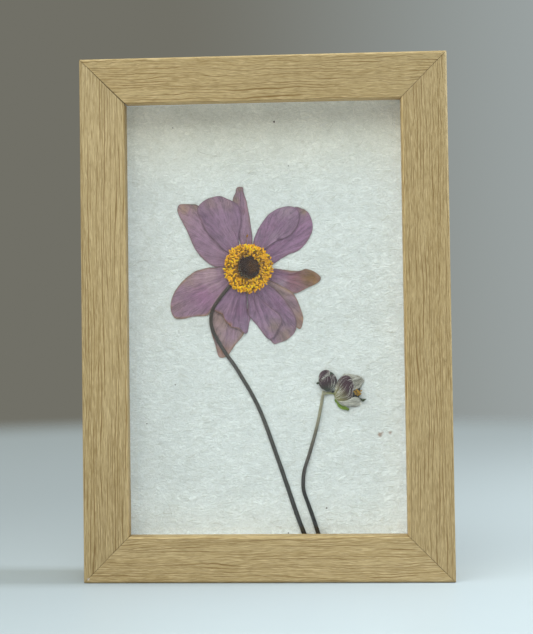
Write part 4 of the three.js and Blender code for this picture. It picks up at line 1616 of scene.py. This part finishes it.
def small_bud(material):
    gathered = Gathered()
    sepals(gathered, SMALL_BUD, 40.0, 0.5, random.Random(21))
    anther(gathered, above_paper(*KNOB, 0.5), 0.4, 0.0, 1.0, 0.7, BUD_TIP)
    # A dark body in the gap by the stalk, as painted shade.
    anther(gathered, above_paper(*SHADED_GAP, 0.5), 0.6, 0.0, 1.0, 0.6, GAP_PAINTED_SHADE)
    finish_piece(gathered.build("pressed_small_bud", 60), [material], "bud", "bud_small")


def large_bud(material):
    rng = random.Random(22)
    gathered = Gathered()
    sepals(gathered, LARGE_BUD, 50.0, 0.4, rng)
    for _ in range(POLLEN_COUNT):
        x, z = rng.uniform(*POLLEN_X), rng.uniform(*POLLEN_Z)
        place = above_paper(x, z, 1.0 + 0.3 * rng.random())
        anther(gathered, place, rng.gauss(0, 0.5), 0.1, 0.8, 0.45, BUD_POLLEN)
    finish_piece(gathered.build("pressed_large_bud", 60), [material], "bud", "bud_large")


def bract(material):
    outline = curved(BRACT_OUTLINE + BRACT_OUTLINE[:1], 90)[:-1]
    sheet = Sheet(outline, BRACT_OUTLINE[0], 40, 14, raggedness=0.16, seed=61.0)
    fold = np.abs(sheet.width_share - 0.5) * 2
    height = 0.2 + 0.14 * fold + 0.05 * rough(sheet.x, sheet.z, 0.8, 3.0)
    tint = blend(LEAF_GREEN, LEAF_DARK, smoothstep(0.75, 0.95, sheet.length_share))
    tint = blend(tint, LEAF_DARK, 0.5 * (1 - smoothstep(0.0, 0.25, fold)))
    gathered = Gathered()
    sheet.add_to(gathered, height, 0.09, tint, sheet.fan(2.0))
    finish_piece(gathered.build("pressed_bract", 60), [material], "leaf", "bud_bract")


def buds():
    small_bud(tissue_material("small_bud", veins=0.25, mottle=0.2, relief=0.04))
    large_bud(tissue_material("large_bud", veins=0.2, mottle=0.15, relief=0.04))
    bract(tissue_material("bract", veins=0.25, mottle=0.2, relief=0.04))


# ---- Stage, light and camera ----

# The floor has painted shade that makes it darkest at the back on the left, and it fades out
# between two radii in metres. The ceiling and the wall in front on the left are outside the
# picture and act as soft lights.
FLOOR_SLOPE = (0.9, -0.85)
FLOOR_SPAN = (-0.3, 0.2)
FLOOR_FADE = (0.5, 0.72)
FLOOR_SHADED = (0.31, 0.33, 0.365)
FLOOR_UNSHADED = (0.485, 0.52, 0.575)
BACKGROUND_LEFT = (0.165, 0.162, 0.135)
BACKGROUND_RIGHT = (0.345, 0.385, 0.385)
CEILING_FRONT = (1.14, 1.38, 1.42)
CEILING_BACK = (1.1, 1.1, 0.8)
LEFT_WALL = (0.72, 0.66, 0.55)


def floor():
    """A pale table top with painted shade towards the back on the left, that fades out into the
    plain background.
    """
    n = new_material("table_top")
    where = n.add("TexCoord").outputs["Object"]
    away = n.add("VectorMath", where, operation="LENGTH").outputs["Value"]
    x, y, _ = n.add("SeparateXYZ", where).outputs
    # Painted shade: darker towards the back on the left.
    away_from_shade = n.plus(*(n.times(value, slope) for value, slope in zip((x, y), FLOOR_SLOPE)))
    colour = n.mix(n.step(away_from_shade, *FLOOR_SPAN), FLOOR_SHADED, FLOOR_UNSHADED)
    n.set(Base_Color=colour, Roughness=0.45, Specular_IOR_Level=0.3)
    n.set(Alpha=n.step(away, *FLOOR_FADE, 1.0, 0.0))
    mesh = bpy.data.meshes.new("table_top")
    corners = [(-1, -1, 0), (1, -1, 0), (1, 1, 0), (-1, 1, 0)]
    mesh.from_pydata(corners, [], [(0, 1, 2, 3)])
    mesh.materials.append(n.owner)
    obj = add_object("table_top", mesh)


def surroundings():
    """A plain background, with a pale ceiling and a pale wall in front on the left."""
    world = bpy.data.worlds.new("studio")
    bpy.context.scene.world = world
    n = Nodes(world)
    x, y, z = n.add("SeparateXYZ", n.add("TexCoord").outputs["Generated"]).outputs
    background = n.mix(n.step(x, -0.13, 0.25), BACKGROUND_LEFT, BACKGROUND_RIGHT)
    in_front = n.step(y, 0.2, -0.3)
    on_left = n.times(n.step(x, -0.25, -0.45), n.step(y, 0.0, -0.2))
    low = n.mix(on_left, background, LEFT_WALL)
    ceiling = n.mix(in_front, CEILING_BACK, CEILING_FRONT)
    n.set(Color=n.mix(n.step(z, 0.5, 0.9), low, ceiling))


# The lamps, in metres and watts. The window is in front, above and to the left. The small lamp
# on the right casts the frame's shadow on the table.
WINDOW = {"place": (-0.48, -0.99, 1.34), "size": (2.7, 1.08), "power": 25.0}
SIDE_LAMP = {"place": (0.68, 0.0, 0.62), "size": (0.06, 0.3), "power": 6.5}


def softbox(name, colour, place, size, power):
    """A soft lamp that is aimed at the middle of the frame."""
    data = bpy.data.lights.new(name, "AREA")
    data.shape = "RECTANGLE"
    data.size, data.size_y = size
    data.energy = power
    data.color = colour
    obj = add_object(name, data)
    obj.location = place
    obj.rotation_mode = "QUATERNION"
    aim = Vector((0, 0, FRAME_HEIGHT * MM / 2)) - Vector(place)
    obj.rotation_quaternion = aim.to_track_quat("-Z", "Y")


def lights():
    softbox("window", (0.88, 1.0, 0.945), **WINDOW)
    softbox("side", (0.85, 0.97, 1.0), **SIDE_LAMP)


CAMERA_PLACE = (19.03, -411.0, 85.38)
CAMERA_TURN = (-3.178, 1.706, -0.777)
CAMERA_LENS = 70.229
PHOTO_LONG_SIDE = 634
PHOTO_SHIFT = (12, -36)


def camera():
    """The camera's turn is its heading, how far it looks up, and its roll, in degrees."""
    heading, look_up, roll = (math.radians(angle) for angle in CAMERA_TURN)
    flat = Vector((math.sin(heading), math.cos(heading), 0))
    level = Vector((math.cos(heading), -math.sin(heading), 0))
    forward = flat * math.cos(look_up) + Vector((0, 0, math.sin(look_up)))
    upright = level.cross(forward)
    right = level * math.cos(roll) + upright * math.sin(roll)
    up = upright * math.cos(roll) - level * math.sin(roll)
    data = bpy.data.cameras.new("camera")
    data.lens = CAMERA_LENS
    data.sensor_width = 36
    data.shift_x, data.shift_y = (pixels / PHOTO_LONG_SIDE for pixels in PHOTO_SHIFT)
    data.clip_start, data.clip_end = 0.01, 10
    obj = add_object("camera", data)
    turn = Matrix((right, up, -forward)).transposed()
    obj.matrix_world = Matrix.Translation(Vector(CAMERA_PLACE) * MM) @ turn.to_4x4()
    bpy.context.scene.camera = obj


camera()
oak_rails()
glass_pane()
spacers()
paper_sheet()
paper_inclusions()
backing_board()
glazing_points()
petals()
stamens()
carpels()
stems()
buds()
floor()
surroundings()
lights()
bpy.context.scene.view_settings.view_transform = "Standard"
